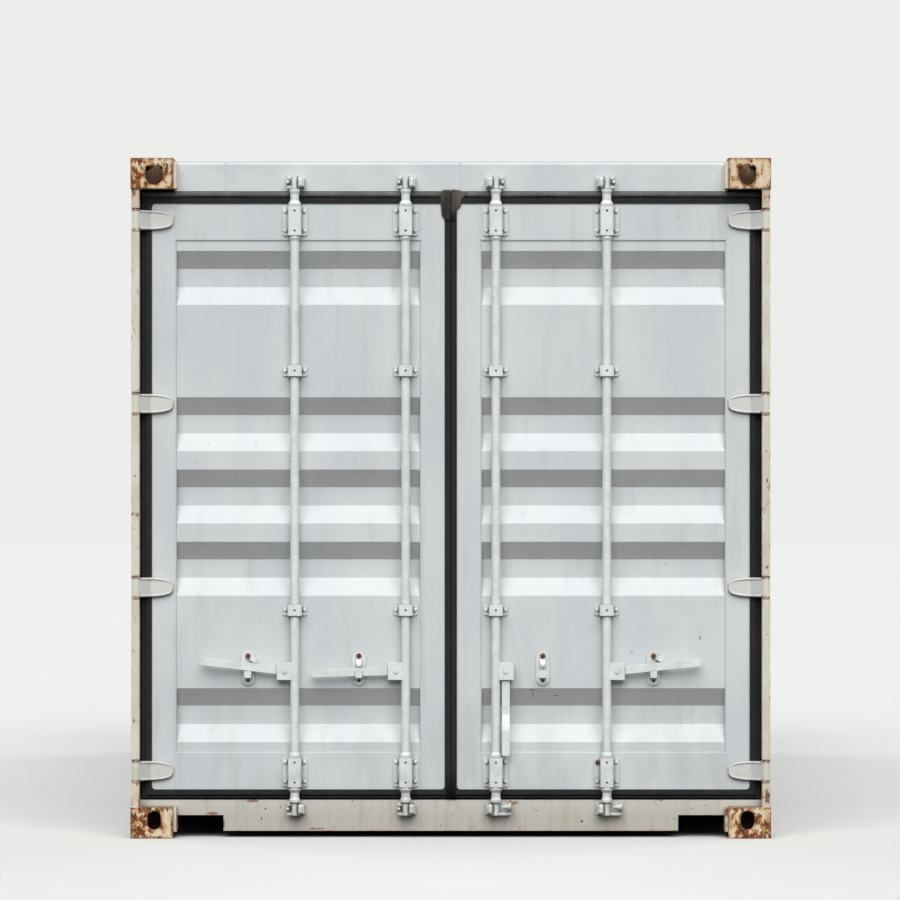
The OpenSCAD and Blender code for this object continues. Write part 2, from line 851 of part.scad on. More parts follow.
// A ring in the door's plane, between two rectangles given by their corners
module ring(low_in, high_in, low_out, high_out, y0, y1) {
    difference() {
        block([low_out[0], y0, low_out[1]], [high_out[0], y1, high_out[1]]);
        block([low_in[0], y0 - 1, low_in[1]], [high_in[0], y1 + 1, high_in[1]]);
    }
}

module door_gasket(side) {
    low = [leaf_x0, leaf_z0];
    high = [leaf_x1, leaf_z1];
    low_out = [gasket_centre_gap / 2, sill_top + gasket_gap];
    high_out = [jamb_x - gasket_gap + 1, header_low - gasket_gap - 1];
    web = 8;
    color([0.12, 0.12, 0.12])
    on_side(side) union() {
        ring(low, high, low - [web, web], high + [web, web], face_y, face_y + leaf_d - 4);
        // the lip over the leaf's edge follows its round corners
        difference() {
            block(
                [(low[0] + low_out[0]) / 2, face_y - gasket_lip_t, (low[1] + low_out[1]) / 2],
                [(high[0] + high_out[0]) / 2, face_y, (high[1] + high_out[1]) / 2]
            );
            plate(
                low + [gasket_lip, gasket_lip], high - [gasket_lip, gasket_lip],
                leaf_corner, face_y - gasket_lip_t - 1, face_y + 1
            );
        }
        ring(low, high, low_out, high_out, face_y + 6, face_y + 12);
        ring(low, high, low_out, high_out, face_y + leaf_d - 12, face_y + leaf_d - 4);
    }
}

// The blade from above, drawn from the pin's axis towards the door, low Y outward
module blade_2d() {
    face = door_step - pin_back;
    reach = blade_tip_in - pin_in;
    edge = half_w - pin_in - leaf_x1 + gasket_lip + 1;
    polygon([
        [-barrel_r * 0.6, barrel_r * 0.8], [0, -barrel_r], [barrel_r * 0.8, -barrel_r * 0.6],
        [edge - 6, face - blade_t], [reach, face - blade_t], [reach, face],
        [edge, face], [edge, face - gasket_lip_t - 2], [edge / 2, face - gasket_lip_t - 2]
    ]);
}

// Upper outline of the blade seen from the door end, from the pin's axis to the tip
function blade_edge() =
    let (reach = blade_tip_in - pin_in, run = reach - blade_straight, drop = (blade_h - blade_tip_h) / 2)
    [
        [-barrel_r, blade_h / 2], [blade_straight, blade_h / 2],
        [blade_straight + run * 0.45, blade_h / 2 - drop * 0.22],
        [blade_straight + run * 0.8, blade_h / 2 - drop * 0.62],
        [reach - 5, blade_tip_h / 2], [reach, blade_tip_h / 2 - 6]
    ];

// What a bevel takes along an edge from X = start to end, with the blade behind and below it
module bevel_cut(start, end, bevel) {
    rotate([45, 0, 0]) translate([start, -20, -bevel / sqrt(2)]) cube([end - start, 40, 40]);
}

// Bevels of the blade's upper half: down the arm from the pin, then along the outline, ever narrower
module bevel_cuts(line, arm, leaf) {
    down = leaf - arm;
    bend = blade_bevel / 2;
    translate([arm[0], arm[1], blade_h / 2]) rotate([0, 0, atan2(down[1], down[0])])
        bevel_cut(0, norm(down) - bend, blade_bevel);
    translate([leaf[0], leaf[1], blade_h / 2]) bevel_cut(bend, blade_straight - leaf[0] + 3, blade_bevel);
    for (i = [1:len(line) - 2])
        let (step = line[i + 1] - line[i])
        translate([line[i][0], leaf[1], line[i][1]]) rotate([0, -atan2(step[1], step[0]), 0])
            bevel_cut(-3, norm(step) + 3, blade_bevel - 0.6 * i);
}

module hinge_blade(z) {
    line = blade_edge();
    arm = [barrel_r * 0.8, -barrel_r * 0.6];
    leaf = [half_w - pin_in - leaf_x1 + gasket_lip - 5, door_step - pin_back - blade_t];
    low_line = reversed([for (p = line) [p[0], -p[1]]]);
    translate([pin_x, pin_y, z]) mirror([1, 0, 0]) difference() {
        union() {
            cylinder(r = barrel_r, h = barrel_h, center = true);
            difference() {
                intersection() {
                    translate([0, 0, -blade_h / 2]) linear_extrude(blade_h) blade_2d();
                    rotate([90, 0, 0]) linear_extrude(4 * door_step, center = true)
                        polygon(concat(line, low_line));
                }
                for (s = [0, 1]) mirror([0, 0, s]) bevel_cuts(line, arm, leaf);
            }
        }
        cylinder(r = pin_r + pin_play, h = barrel_h + 2, center = true);
    }
}

module hinge_blades(side) {
    color([0.86, 0.87, 0.85])
    on_side(side) for (z = hinge_heights) hinge_blade(z);
}

// The raised part of a bracket in plan, about its rod's axis
module saddle_2d(back, w) {
    corner = 8;
    front = rod_stand - saddle_y;
    difference() {
        union() {
            translate([-w / 2, front + corner]) square([w, back - front - corner]);
            translate([-w / 2 + corner, front]) square([w - 2 * corner, corner + tiny]);
            for (s = [-1, 1]) translate([s * (w / 2 - corner), front + corner]) circle(r = corner);
        }
        circle(r = rod_r + rod_play);
    }
}

// A bracket about its rod's axis, centred on z = 0, with holes in its raised part
module bracket(back, size, w, hole_zs) {
    difference() {
        union() {
            plate(-size / 2, size / 2, bracket_corner, back - flange_t, back);
            translate([0, 0, -size[1] / 2]) linear_extrude(size[1]) saddle_2d(back, w);
        }
        translate([0, 0, -size[1] / 2 - 1]) cylinder(r = rod_r + rod_play, h = size[1] + 2);
        for (z = hole_zs) translate([0, 0, z]) rotate([90, 0, 0]) cylinder(r = grease_r, h = saddle_y);
    }
}

// A domed bolt head on a bracket's flange
module bolt_head(x, back, z) {
    translate([x, back - flange_t + tiny, z]) rotate([90, 0, 0]) intersection() {
        cylinder(r = bolt_r, h = bolt_h);
        translate([0, 0, bolt_h - bolt_dome]) sphere(r = bolt_dome);
    }
}

module rod_brackets(side) {
    back = rod_stand + panel_step;
    color([0.87, 0.89, 0.88])
    on_side(side) for (x = [rod_inner_x, rod_outer_x]) translate([x, rod_y, 0]) {
        for (z = bracket_zs) translate([0, 0, z]) {
            bracket(rod_stand, [bracket_w, bracket_h], saddle_w, [-grease_z, grease_z]);
            for (i = [-1, 1], j = [-1, 1]) bolt_head(i * bolt_x, rod_stand, j * bolt_z);
        }
        for (z = [guide_low, guide_high]) translate([0, 0, z]) {
            bracket(back, [guide_w, guide_h], saddle_w + 3, [0]);
            for (i = [-1, 1]) bolt_head(i * bolt_x, back, 0);
        }
    }
}

// A cam centred on z = 0: core, nose behind the keeper's lip, and arms above and below its nib
module cam(long) {
    reach = long ? long_reach : short_reach;
    linear_extrude(cam_h, center = true) {
        circle(r = cam_core_r);
        intersection() {
            circle(r = nose_reach);
            translate([-nose_reach - 1, -2]) square([nose_reach + 1, 14]);
        }
    }
    for (s = long ? [-1] : [-1, 1])
        translate([0, 0, s * (cam_h - arm_t) / 2]) linear_extrude(arm_t, center = true) {
            translate([0, arm_front]) square([reach - arm_w / 2, arm_w]);
            translate([reach - arm_w / 2, arm_front + arm_w / 2]) circle(d = arm_w);
        }
}

// A collar of radius r, from z = 0 up, with a cone that ends at the rod
module collar(r) {
    cylinder(r = r, h = collar_h);
    translate([0, 0, collar_h]) cylinder(r1 = r, r2 = rod_r, h = flare_h);
}

// The hub: two cheeks and the handle's pin, on the rod
module handle_hub() {
    cheek_in = handle_t / 2 + cheek_gap;
    for (s = [-1, 1])
        translate([0, s * (cheek_in + cheek_t / 2), 0]) cube([2 * hub_reach, cheek_t, hub_h], center = true);
    translate([handle_pivot, -cheek_in - cheek_t - 3, 0]) rotate([-90, 0, 0])
        cylinder(r = handle_pin_r, h = 2 * (cheek_in + cheek_t) + 3);
    translate([handle_pivot, -cheek_in - cheek_t, 0]) rotate([90, 0, 0])
        cylinder(r = handle_pin_r + 3, h = 3);
}

module lock_rod(side, x) {
    cam_end = cam_h / 2 + disc_gap;
    color([0.87, 0.89, 0.88])
    on_side(side) translate([x, rod_y, 0]) {
        translate([0, 0, keeper_zs[0] + cam_end])
            cylinder(r = rod_r, h = keeper_zs[1] - keeper_zs[0] - 2 * cam_end);
        for (end = [0, 1]) translate([0, 0, keeper_zs[end]]) mirror([0, 0, end]) {
            mirror([0, 0, end]) cam(is_long(side, keeper_zs[end]));
            cylinder(r = cam_core_r - 1, h = cam_end + 1);
            translate([0, 0, cam_end]) collar(disc_r);
        }
        for (end = [0, 1]) translate([0, 0, bracket_zs[end]]) mirror([0, 0, end]) {
            translate([0, 0, bracket_h / 2 + rod_play]) collar(disc_r + 1);
            mirror([0, 0, 1]) translate([0, 0, bracket_h / 2 + rod_play]) collar(collar_r);
        }
        intersection() {
            translate([0, 0, handle_z]) handle_hub();
            translate([0, -50, handle_z - hub_h]) cube([hub_reach, 100, 2 * hub_h]);
        }
    }
}

// A handle from above: a flat bar that steps outward beyond the catch
module handle_2d() {
    bend_at = catch_x - handle_pivot + hook_w / 2 + 12;
    t = handle_t / 2;
    translate([0, -handle_joggle / 2]) polygon([
        [-handle_w / 2, handle_joggle / 2 - t], [bend_at, handle_joggle / 2 - t],
        [bend_at + 60, -handle_joggle / 2 - t], [handle_l, -handle_joggle / 2 - t],
        [handle_l, -handle_joggle / 2 + t], [bend_at + 60, -handle_joggle / 2 + t],
        [bend_at, handle_joggle / 2 + t], [-handle_w / 2, handle_joggle / 2 + t]
    ]);
}

module handle_bar() {
    difference() {
        intersection() {
            translate([0, 0, -handle_w / 2]) linear_extrude(handle_w) handle_2d();
            rotate([90, 0, 0]) linear_extrude(4 * handle_w, center = true) {
                circle(d = handle_w);
                translate([0, -handle_w / 2]) square([handle_l - 5, handle_w]);
                translate([0, 5 - handle_w / 2]) square([handle_l, handle_w - 10]);
                for (s = [-1, 1]) translate([handle_l - 5, s * (handle_w / 2 - 5)]) circle(r = 5);
            }
        }
        rotate([90, 0, 0]) cylinder(r = handle_pin_r + 0.5, h = 4 * handle_w, center = true);
    }
}

module handle(side, x, tilt) {
    color([0.88, 0.88, 0.85])
    on_side(side) translate([x + handle_pivot, rod_y, handle_z]) rotate([0, -tilt, 0]) handle_bar();
}

// A catch: base plate with a seal hole, hook and rivet
module handle_catch() {
    lip_y = -handle_t / 2 - 2;
    difference() {
        translate([0, catch_back, catch_low + catch_w / 2]) rotate([90, 0, 0]) linear_extrude(catch_t) {
            for (z = [0, catch_h - catch_w]) translate([0, z]) circle(d = catch_w);
            translate([-catch_w / 2, 0]) square([catch_w, catch_h - catch_w]);
        }
        translate([0, catch_back + 1, catch_low + 18]) rotate([90, 0, 0]) cylinder(r = 5, h = catch_t + 2);
    }
    // the hook's shelf and lip
    block([-hook_w / 2, lip_y - catch_t, shelf_z - 6], [hook_w / 2, catch_back - catch_t + tiny, shelf_z]);
    block([-hook_w / 2, lip_y - catch_t, shelf_z - tiny], [hook_w / 2, lip_y, shelf_z + hook_lip]);
    // the rivet that the cover hangs from
    translate([0, catch_back - catch_t + tiny, rivet_z]) rotate([90, 0, 0])
        cylinder(r = rivet_r, h = catch_t + 1);
    translate([0, cover_back - catch_t - 0.3, rivet_z]) rotate([90, 0, 0])
        cylinder(r = rivet_r + 3, h = 4);
}

module handle_catches(side) {
    color([0.87, 0.87, 0.84])
    on_side(side) for (x = [rod_inner_x, rod_outer_x]) translate([x + catch_x, rod_y, 0]) handle_catch();
}

// The swinging cover, hanging from its rivet at the origin: a strap bent out over the handle
module cover() {
    end_r = cover_w / 2;
    eye_r = rivet_r + 6;
    tip = catch_t / 2;
    difference() {
        intersection() {
            rotate([90, 0, 0]) linear_extrude(200, center = true) {
                circle(r = eye_r);
                translate([0, end_r - cover_l]) circle(r = end_r);
                translate([-end_r, end_r - cover_l]) square([cover_w, cover_l - end_r]);
            }
            rotate([90, 0, 90]) linear_extrude(4 * eye_r, center = true) polygon([
                [cover_back, eye_r + 1], [cover_back - catch_t, eye_r + 1],
                [cover_back - catch_t, -eye_r], [-tip, end_r - cover_l],
                [-tip, -cover_l - 1], [tip, -cover_l - 1],
                [tip, end_r - cover_l - 3], [cover_back, -eye_r - 3]
            ]);
        }
        rotate([90, 0, 0]) cylinder(r = rivet_r + 0.5, h = 200, center = true);
    }
}

module catch_cover(x, turn) {
    color([0.90, 0.90, 0.88])
    translate([x, rod_y, rivet_z]) rotate([0, -turn, 0]) cover();
}

end_castings(-1);  // door_end_castings
end_castings(1);  // front_end_castings
door_posts();
front_posts();
hinge_pins();
door_header();
door_sill();
sill_end_plates();
cam_keepers();
front_top_rail();
front_bottom_rail();
front_wall();
top_side_rails();
bottom_side_rails();
side_wall(-1);  // left_side_wall
side_wall(1);  // right_side_wall
roof_sheet();
cross_members();
fork_pockets();
floor_boards();
door_frame(-1);  // left_door_frame
door_panel(-1);  // left_door_panel
door_gasket(-1);  // left_door_gasket
hinge_blades(-1);  // left_hinge_blades
rod_brackets(-1);  // left_rod_brackets
handle_catches(-1);  // left_handle_catches
door_frame(1);  // right_door_frame
door_panel(1);  // right_door_panel
door_gasket(1);  // right_door_gasket
hinge_blades(1);  // right_hinge_blades
rod_brackets(1);  // right_rod_brackets
handle_catches(1);  // right_handle_catches
lock_rod(-1, rod_outer_x);  // lock_rod_1
lock_rod(-1, rod_inner_x);  // lock_rod_2
lock_rod(1, rod_inner_x);  // lock_rod_3
lock_rod(1, rod_outer_x);  // lock_rod_4
handle(-1, rod_outer_x, handle_tilts[0]);  // handle_1
handle(-1, rod_inner_x, handle_tilts[1]);  // handle_2
handle(1, rod_inner_x, handle_tilts[2]);  // handle_3
handle(1, rod_outer_x, handle_tilts[3]);  // handle_4
catch_cover(-rod_outer_x - catch_x, cover_turns[0]);  // catch_cover_1
catch_cover(-rod_inner_x - catch_x, cover_turns[1]);  // catch_cover_2
catch_cover(rod_inner_x + catch_x, cover_turns[2]);  // catch_cover_3
catch_cover(rod_outer_x + catch_x, cover_turns[3]);  // catch_cover_4
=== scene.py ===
"""Dresses a steel freight container: weathered paint, rust, gaskets, bolt heads and weld beads."""

import json
import math

import bmesh
import bpy
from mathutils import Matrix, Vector


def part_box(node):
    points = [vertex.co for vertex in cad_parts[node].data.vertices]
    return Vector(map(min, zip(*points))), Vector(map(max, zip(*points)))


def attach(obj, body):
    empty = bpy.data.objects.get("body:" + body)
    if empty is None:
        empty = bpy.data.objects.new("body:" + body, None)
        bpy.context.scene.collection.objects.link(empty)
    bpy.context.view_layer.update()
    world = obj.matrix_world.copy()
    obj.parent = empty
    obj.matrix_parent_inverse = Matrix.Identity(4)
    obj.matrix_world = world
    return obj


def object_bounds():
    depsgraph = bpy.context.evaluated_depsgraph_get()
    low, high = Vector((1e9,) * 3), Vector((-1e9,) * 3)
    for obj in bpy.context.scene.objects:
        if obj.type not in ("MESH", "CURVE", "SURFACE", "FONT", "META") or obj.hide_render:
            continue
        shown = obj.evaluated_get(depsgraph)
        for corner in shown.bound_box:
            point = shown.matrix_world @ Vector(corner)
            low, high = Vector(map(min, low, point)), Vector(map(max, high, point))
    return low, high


bl_info = {
    "name": "Freight Container Dresser",
    "version": (1, 0, 0),
    "blender": (4, 5, 0),
    "location": "View3D > Sidebar > Container",
    "description": "Adds paint, rust, gaskets, bolt heads and weld beads to a freight container",
    "category": "Add Mesh",
}

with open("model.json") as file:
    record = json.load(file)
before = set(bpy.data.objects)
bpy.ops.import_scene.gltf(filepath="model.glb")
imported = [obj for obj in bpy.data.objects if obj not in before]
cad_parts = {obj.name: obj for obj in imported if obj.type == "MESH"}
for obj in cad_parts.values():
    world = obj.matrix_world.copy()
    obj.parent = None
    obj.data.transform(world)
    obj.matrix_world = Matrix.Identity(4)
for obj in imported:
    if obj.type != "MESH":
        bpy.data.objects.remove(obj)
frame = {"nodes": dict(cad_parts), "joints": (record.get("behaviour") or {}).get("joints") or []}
CAD_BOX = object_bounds()
NODES = frame["nodes"]
PIVOTS = {joint["name"]: Vector(joint["pos_m"]) for joint in frame["joints"]}
SIDES = ((-1, "left"), (1, "right"))


def linear(hex_colour):
    """An sRGB hex colour such as #CFD4D6 as linear RGBA."""
    values = []
    for start in (1, 3, 5):
        c = int(hex_colour[start : start + 2], 16) / 255
        values.append(c / 12.92 if c <= 0.04045 else ((c + 0.055) / 1.055) ** 2.4)
    return (*values, 1.0)


def fill(tree, node, inputs):
    """Gives a node's inputs their values and links."""
    for key, value in inputs.items():
        socket = node.inputs[key]
        if isinstance(value, bpy.types.NodeSocket):
            tree.links.new(value, socket)
        else:
            socket.default_value = value


def add(tree, kind, inputs=None, **settings):
    """Adds a node with its settings, values and links, and returns it."""
    node = tree.nodes.new(kind)
    for key, value in settings.items():
        setattr(node, key, value)
    fill(tree, node, inputs or {})
    return node


def new_material(name):
    """An empty node material with its Principled shader."""
    material = bpy.data.materials.new(name)
    material.use_nodes = True
    tree = material.node_tree
    tree.nodes.clear()
    shader = add(tree, "ShaderNodeBsdfPrincipled")
    add(tree, "ShaderNodeOutputMaterial", {"Surface": shader.outputs[0]})
    place = add(tree, "ShaderNodeTexCoord").outputs["Object"]
    return material, tree, shader, place


def coats(tree, base, *layers):
    """Lays layers of (mask, colour, density) over a base colour, each where its mask is 1."""
    colour = linear(base) if isinstance(base, str) else base
    for mask, over, density in layers:
        if density != 1:
            mask = all_of(tree, mask, density)
        over = linear(over) if isinstance(over, str) else over
        colour = add(tree, "ShaderNodeMix", {0: mask, 6: colour, 7: over}, data_type="RGBA").outputs[2]
    return colour


def all_of(tree, *masks):
    """The mask of what lies in every one of the masks."""
    joined = masks[0]
    for mask in masks[1:]:
        joined = add(tree, "ShaderNodeMath", {0: joined, 1: mask}, operation="MULTIPLY").outputs[0]
    return joined


def any_of(tree, *masks):
    """The mask of what lies in one of the masks at least."""
    joined = masks[0]
    for mask in masks[1:]:
        joined = add(tree, "ShaderNodeMath", {0: joined, 1: mask}, operation="MAXIMUM").outputs[0]
    return joined


def patches(tree, place, size, low, high, stretch=(1, 1, 1), detail=5.0, rough=0.6, shift=(0, 0, 0)):
    """A 0 to 1 mask of patches about that size in metres, stretched along the axes."""
    scale = tuple(s / size for s in stretch)
    at = add(tree, "ShaderNodeMapping", {"Vector": place, "Location": shift, "Scale": scale})
    grain = {"Vector": at.outputs[0], "Scale": 1.0, "Detail": detail, "Roughness": rough}
    noise = add(tree, "ShaderNodeTexNoise", grain)
    spread = {"Value": noise.outputs["Fac"], "From Min": low, "From Max": high}
    return add(tree, "ShaderNodeMapRange", spread, interpolation_type="SMOOTHSTEP").outputs[0]


def along(tree, place, axis, start, end):
    """0 at start and 1 at end along an axis, in metres."""
    xyz = add(tree, "ShaderNodeSeparateXYZ", {0: place})
    spread = {"Value": xyz.outputs[axis], "From Min": start, "From Max": end}
    return add(tree, "ShaderNodeMapRange", spread, interpolation_type="SMOOTHSTEP").outputs[0]


def facing(tree, start, end):
    """0 where the surface's upward lean is start, 1 where it is end: -1 faces down and 1 up."""
    normal = add(tree, "ShaderNodeNewGeometry").outputs["True Normal"]
    return along(tree, normal, "Z", start, end)


def near(tree, place, centre, radius, stretch=(1, 1, 1)):
    """1 at a point, falling to 0 at that radius in metres."""
    scale = tuple(s / radius for s in stretch)
    shift = tuple(-c * s for c, s in zip(centre, scale))
    at = add(tree, "ShaderNodeMapping", {"Vector": place, "Location": shift, "Scale": scale})
    far = add(tree, "ShaderNodeVectorMath", {0: at.outputs[0]}, operation="LENGTH")
    spread = {"Value": far.outputs["Value"], "From Min": 1.0, "From Max": 0.0}
    return add(tree, "ShaderNodeMapRange", spread, interpolation_type="SMOOTHSTEP").outputs[0]


def marks(tree, place, spots, full, *torn):
    """1 on marks of (centre, radius, stretch), grown to full strength, where they aren't torn away."""
    found = all_of(tree, any_of(tree, *(near(tree, place, *spot) for spot in spots)), *torn)
    spread = {"Value": found, "From Min": 0.2, "From Max": full}
    return add(tree, "ShaderNodeMapRange", spread, interpolation_type="SMOOTHSTEP").outputs[0]


def worn_edges(tree, radius, low, high):
    """1 on edges sharper than a radius in metres, from how far rounding turns the surface."""
    soft = add(tree, "ShaderNodeBevel", {"Radius": radius}, samples=6)
    flat = add(tree, "ShaderNodeNewGeometry").outputs["True Normal"]
    same = add(tree, "ShaderNodeVectorMath", {0: soft.outputs[0], 1: flat}, operation="DOT_PRODUCT")
    spread = {"Value": same.outputs["Value"], "From Min": 1.0 - low, "From Max": 1.0 - high}
    return add(tree, "ShaderNodeMapRange", spread).outputs[0]


def occluded_grime_and_shade(tree, reach, low=0.2, high=0.75):
    """1 in corners and gaps that are narrower than a reach in metres, by ambient occlusion: the mask for
    painted shade there, and for the dirt that stays there.
    """
    open_part = add(tree, "ShaderNodeAmbientOcclusion", {"Distance": reach}, samples=6)
    spread = {"Value": open_part.outputs["AO"], "From Min": high, "From Max": low}
    return add(tree, "ShaderNodeMapRange", spread).outputs[0]


def barrel_ends(tree, place):
    """1 at the heights where the hinges' barrels end on the posts, where rust collects."""
    height = add(tree, "ShaderNodeSeparateXYZ", {0: place}).outputs["Z"]
    raised = add(tree, "ShaderNodeMath", {0: height, 1: HINGE_LOW}, operation="SUBTRACT").outputs[0]
    away = add(tree, "ShaderNodeMath", {0: raised, 1: HINGE_STEP / 2}, operation="PINGPONG").outputs[0]
    ends = {0: away, 1: BARREL_HALF, 2: 0.006}
    return add(tree, "ShaderNodeMath", ends, operation="COMPARE").outputs[0]


def dents(tree, place, size, depth, normal=None, detail=3.0):
    """A bump of that size and depth in metres, on top of another normal."""
    at = add(tree, "ShaderNodeMapping", {"Vector": place, "Scale": (1 / size, 1 / size, 1 / size)})
    noise = add(tree, "ShaderNodeTexNoise", {"Vector": at.outputs[0], "Scale": 1.0, "Detail": detail})
    inputs = {"Height": noise.outputs["Fac"], "Strength": 1.0, "Distance": depth}
    if normal is not None:
        inputs["Normal"] = normal
    return add(tree, "ShaderNodeBump", inputs).outputs[0]


def container_paint(colours):
    """Chalky alkyd paint rolled on steel: a matt, slightly mottled grey with dirt runs and pin rust, and
    painted shade in the corners and on down-facing faces.
    """
    material, tree, shader, place = new_material("container_paint")
    mottled = patches(tree, place, 0.3, 0.35, 0.7, stretch=(1, 1, 0.5), detail=6.0)
    runs = patches(tree, place, 0.06, 0.52, 0.78, stretch=(1, 1, 0.09), detail=6.0)
    # Down-facing faces get the dirt colour as painted shade, and dust settles on the roof
    down_facing_shade = facing(tree, -0.1, -0.4)
    dust = all_of(tree, facing(tree, 0.85, 0.98), patches(tree, place, 0.5, 0.2, 0.7, detail=7.0))
    low = along(tree, place, "Z", 0.75, 0.15)
    grime = all_of(tree, low, patches(tree, place, 0.12, 0.4, 0.65, stretch=(1, 1, 0.4)))
    pin_rust = patches(tree, place, 0.018, 0.74, 0.80, detail=2.0)
    scuffs = any_of(tree, *(near(tree, place, *scuff) for scuff in SCUFFS))
    scuffs = all_of(tree, scuffs, patches(tree, place, 0.008, 0.38, 0.5, detail=3.0))
    colour = coats(
        tree,
        colours.paint,
        (mottled, colours.paint_faded, 1),
        (runs, colours.road_grime_and_shade, 0.2),
        # Painted shade: the dark dirt colour in corners and round the rods, brackets and handles, as their
        # contact shadow, with some dirt
        (occluded_grime_and_shade(tree, 0.018, 0.3, 0.85), colours.dark_grime_and_shade, 0.5),
        # Painted shade: down-facing faces darkened with the dirt colour
        (down_facing_shade, colours.road_grime_and_shade, 0.31),
        (dust, colours.road_grime_and_shade, 0.5),
        (grime, colours.road_grime_and_shade, 0.2),
        (pin_rust, colours.rust, 0.7),
        (scuffs, "#2B2724", 0.85),
    )
    rough = add(tree, "ShaderNodeMapRange", {"Value": mottled, "To Min": 0.48, "To Max": 0.62}).outputs[0]
    # The roller's peel, 4 mm across, on sheet that is dented by a millimetre
    peel = dents(tree, place, 0.004, 0.00006)
    dented = dents(tree, place, 0.25, 0.0012, peel, detail=1.0)
    fill(tree, shader, {"Base Color": colour, "Roughness": rough, "Normal": dented})
    return material


def post_paint(colours):
    """Old cream alkyd paint brushed on the door posts, flaked to brown rust along the edges and stained."""
    material, tree, shader, place = new_material("post_paint")
    mottled = patches(tree, place, 0.12, 0.35, 0.65, stretch=(1, 1, 0.5))
    ends = any_of(tree, along(tree, place, "Z", 2.25, 2.5), along(tree, place, "Z", 0.4, 0.15))
    stained = all_of(tree, ends, patches(tree, place, 0.05, 0.3, 0.7, stretch=(1, 1, 0.4)))
    runs = patches(tree, place, 0.09, 0.5, 0.8, stretch=(1, 1, 0.15))
    flakes = patches(tree, place, 0.022, 0.6, 0.64, stretch=(1, 1, 0.45), detail=9.0, rough=0.75)
    flaky = patches(tree, place, 0.035, 0.46, 0.54, detail=8.0)
    edges = all_of(tree, worn_edges(tree, 0.004, 0.02, 0.25), flaky)
    at_hinges = all_of(tree, barrel_ends(tree, place), patches(tree, place, 0.01, 0.35, 0.5, detail=6.0))
    flakes_at_castings = patches(tree, place, 0.03, 0.52, 0.58, stretch=(1, 1, 0.5), detail=9.0, rough=0.7)
    bare = any_of(tree, flakes, edges, at_hinges, all_of(tree, ends, flakes_at_castings))
    rust = coats(tree, colours.rust, (patches(tree, place, 0.01, 0.35, 0.65), colours.rust_dark, 1))
    colour = coats(
        tree,
        colours.post,
        (mottled, colours.post_dark, 1),
        (stained, colours.stain, 0.55),
        (runs, colours.stain, 0.35),
        (bare, rust, 0.9),
    )
    rough = add(tree, "ShaderNodeMapRange", {"Value": bare, "To Min": 0.5, "To Max": 0.85}).outputs[0]
    brushed = dents(tree, place, 0.006, 0.0003)
    fill(tree, shader, {"Base Color": colour, "Roughness": rough, "Normal": brushed})
    return material


def cast_steel_rust(colours):
    """Sand-cast steel corner under cream paint: rust creeps in from edges and holes, with dark pits, and
    painted shade with dark rust inside the holes.
    """
    material, tree, shader, place = new_material("cast_steel_rust")
    # Sides and ends folded together, so that one mask serves all the corners
    folded = add(tree, "ShaderNodeVectorMath", {0: place}, operation="ABSOLUTE").outputs[0]
    streaks = patches(tree, place, 0.03, 0.48, 0.7, stretch=(1, 1, 0.22), detail=6.0)
    rings = [
        near(tree, folded, (HOLE_X, 0, height), 0.07, (1.15, 0, 0.9))
        for height in (LOWER_HOLE_Z, UPPER_HOLE_Z)
    ]
    weak = [all_of(tree, near(tree, place, corner, 0.16), amount) for corner, amount in WEAK_CORNERS]
    attacked = any_of(tree, *rings, *weak, worn_edges(tree, 0.026, 0.0, 0.1))
    flaking = patches(
        tree, place, 0.026, 0.3, 0.7, stretch=(1, 1, 0.6), detail=10.0, rough=0.75, shift=(3.1, 1.7, 0.4)
    )
    eaten = {0: attacked, 1: 0.48, 2: flaking}
    depth = add(tree, "ShaderNodeMath", eaten, operation="MULTIPLY_ADD").outputs[0]
    stained, bare, deep = [
        add(
            tree,
            "ShaderNodeMapRange",
            {"Value": depth, "From Min": start, "From Max": end},
            interpolation_type="SMOOTHSTEP",
        ).outputs[0]
        for start, end in ((0.62, 0.78), (0.76, 0.82), (0.86, 0.94))
    ]
    rim = patches(tree, place, 0.02, 0.35, 0.5, detail=8.0)
    rim = all_of(tree, worn_edges(tree, 0.006, 0.002, 0.08), rim)
    pits = all_of(tree, any_of(tree, bare, rim), patches(tree, place, 0.011, 0.46, 0.54, detail=8.0))
    # Painted shade with dark rust inside the holes, behind the face, picked by ambient occlusion
    behind_face = along(tree, folded, "Y", DEPTH - 0.012, DEPTH - 0.019)
    inside = all_of(tree, behind_face, occluded_grime_and_shade(tree, 0.12, 0.55, 0.95))
    colour = coats(
        tree,
        colours.cream,
        (patches(tree, place, 0.05, 0.35, 0.65), colours.cream_dark, 1),
        (streaks, colours.rust_bright, 0.55),
        (stained, colours.ochre, 0.6),
        (bare, colours.rust_bright, 0.9),
        (deep, colours.rust, 1),
        (rim, colours.rust, 0.9),
        (pits, colours.rust_dark, 0.8),
        (inside, colours.rust_and_shade_inside, 1),
    )
    rough = add(tree, "ShaderNodeMapRange", {"Value": bare, "To Min": 0.6, "To Max": 0.9}).outputs[0]
    # The mould's sand gives a 6 mm grain here, drawn coarser than the real millimetre so that it shows
    rounded = add(tree, "ShaderNodeBevel", {"Radius": 0.008}, samples=6).outputs[0]
    grain = dents(tree, place, 0.006, 0.0009, rounded, detail=6.0)
    lumpy = dents(tree, place, 0.03, 0.0014, grain)
    fill(tree, shader, {"Base Color": colour, "Roughness": rough, "Normal": lumpy})
    return material


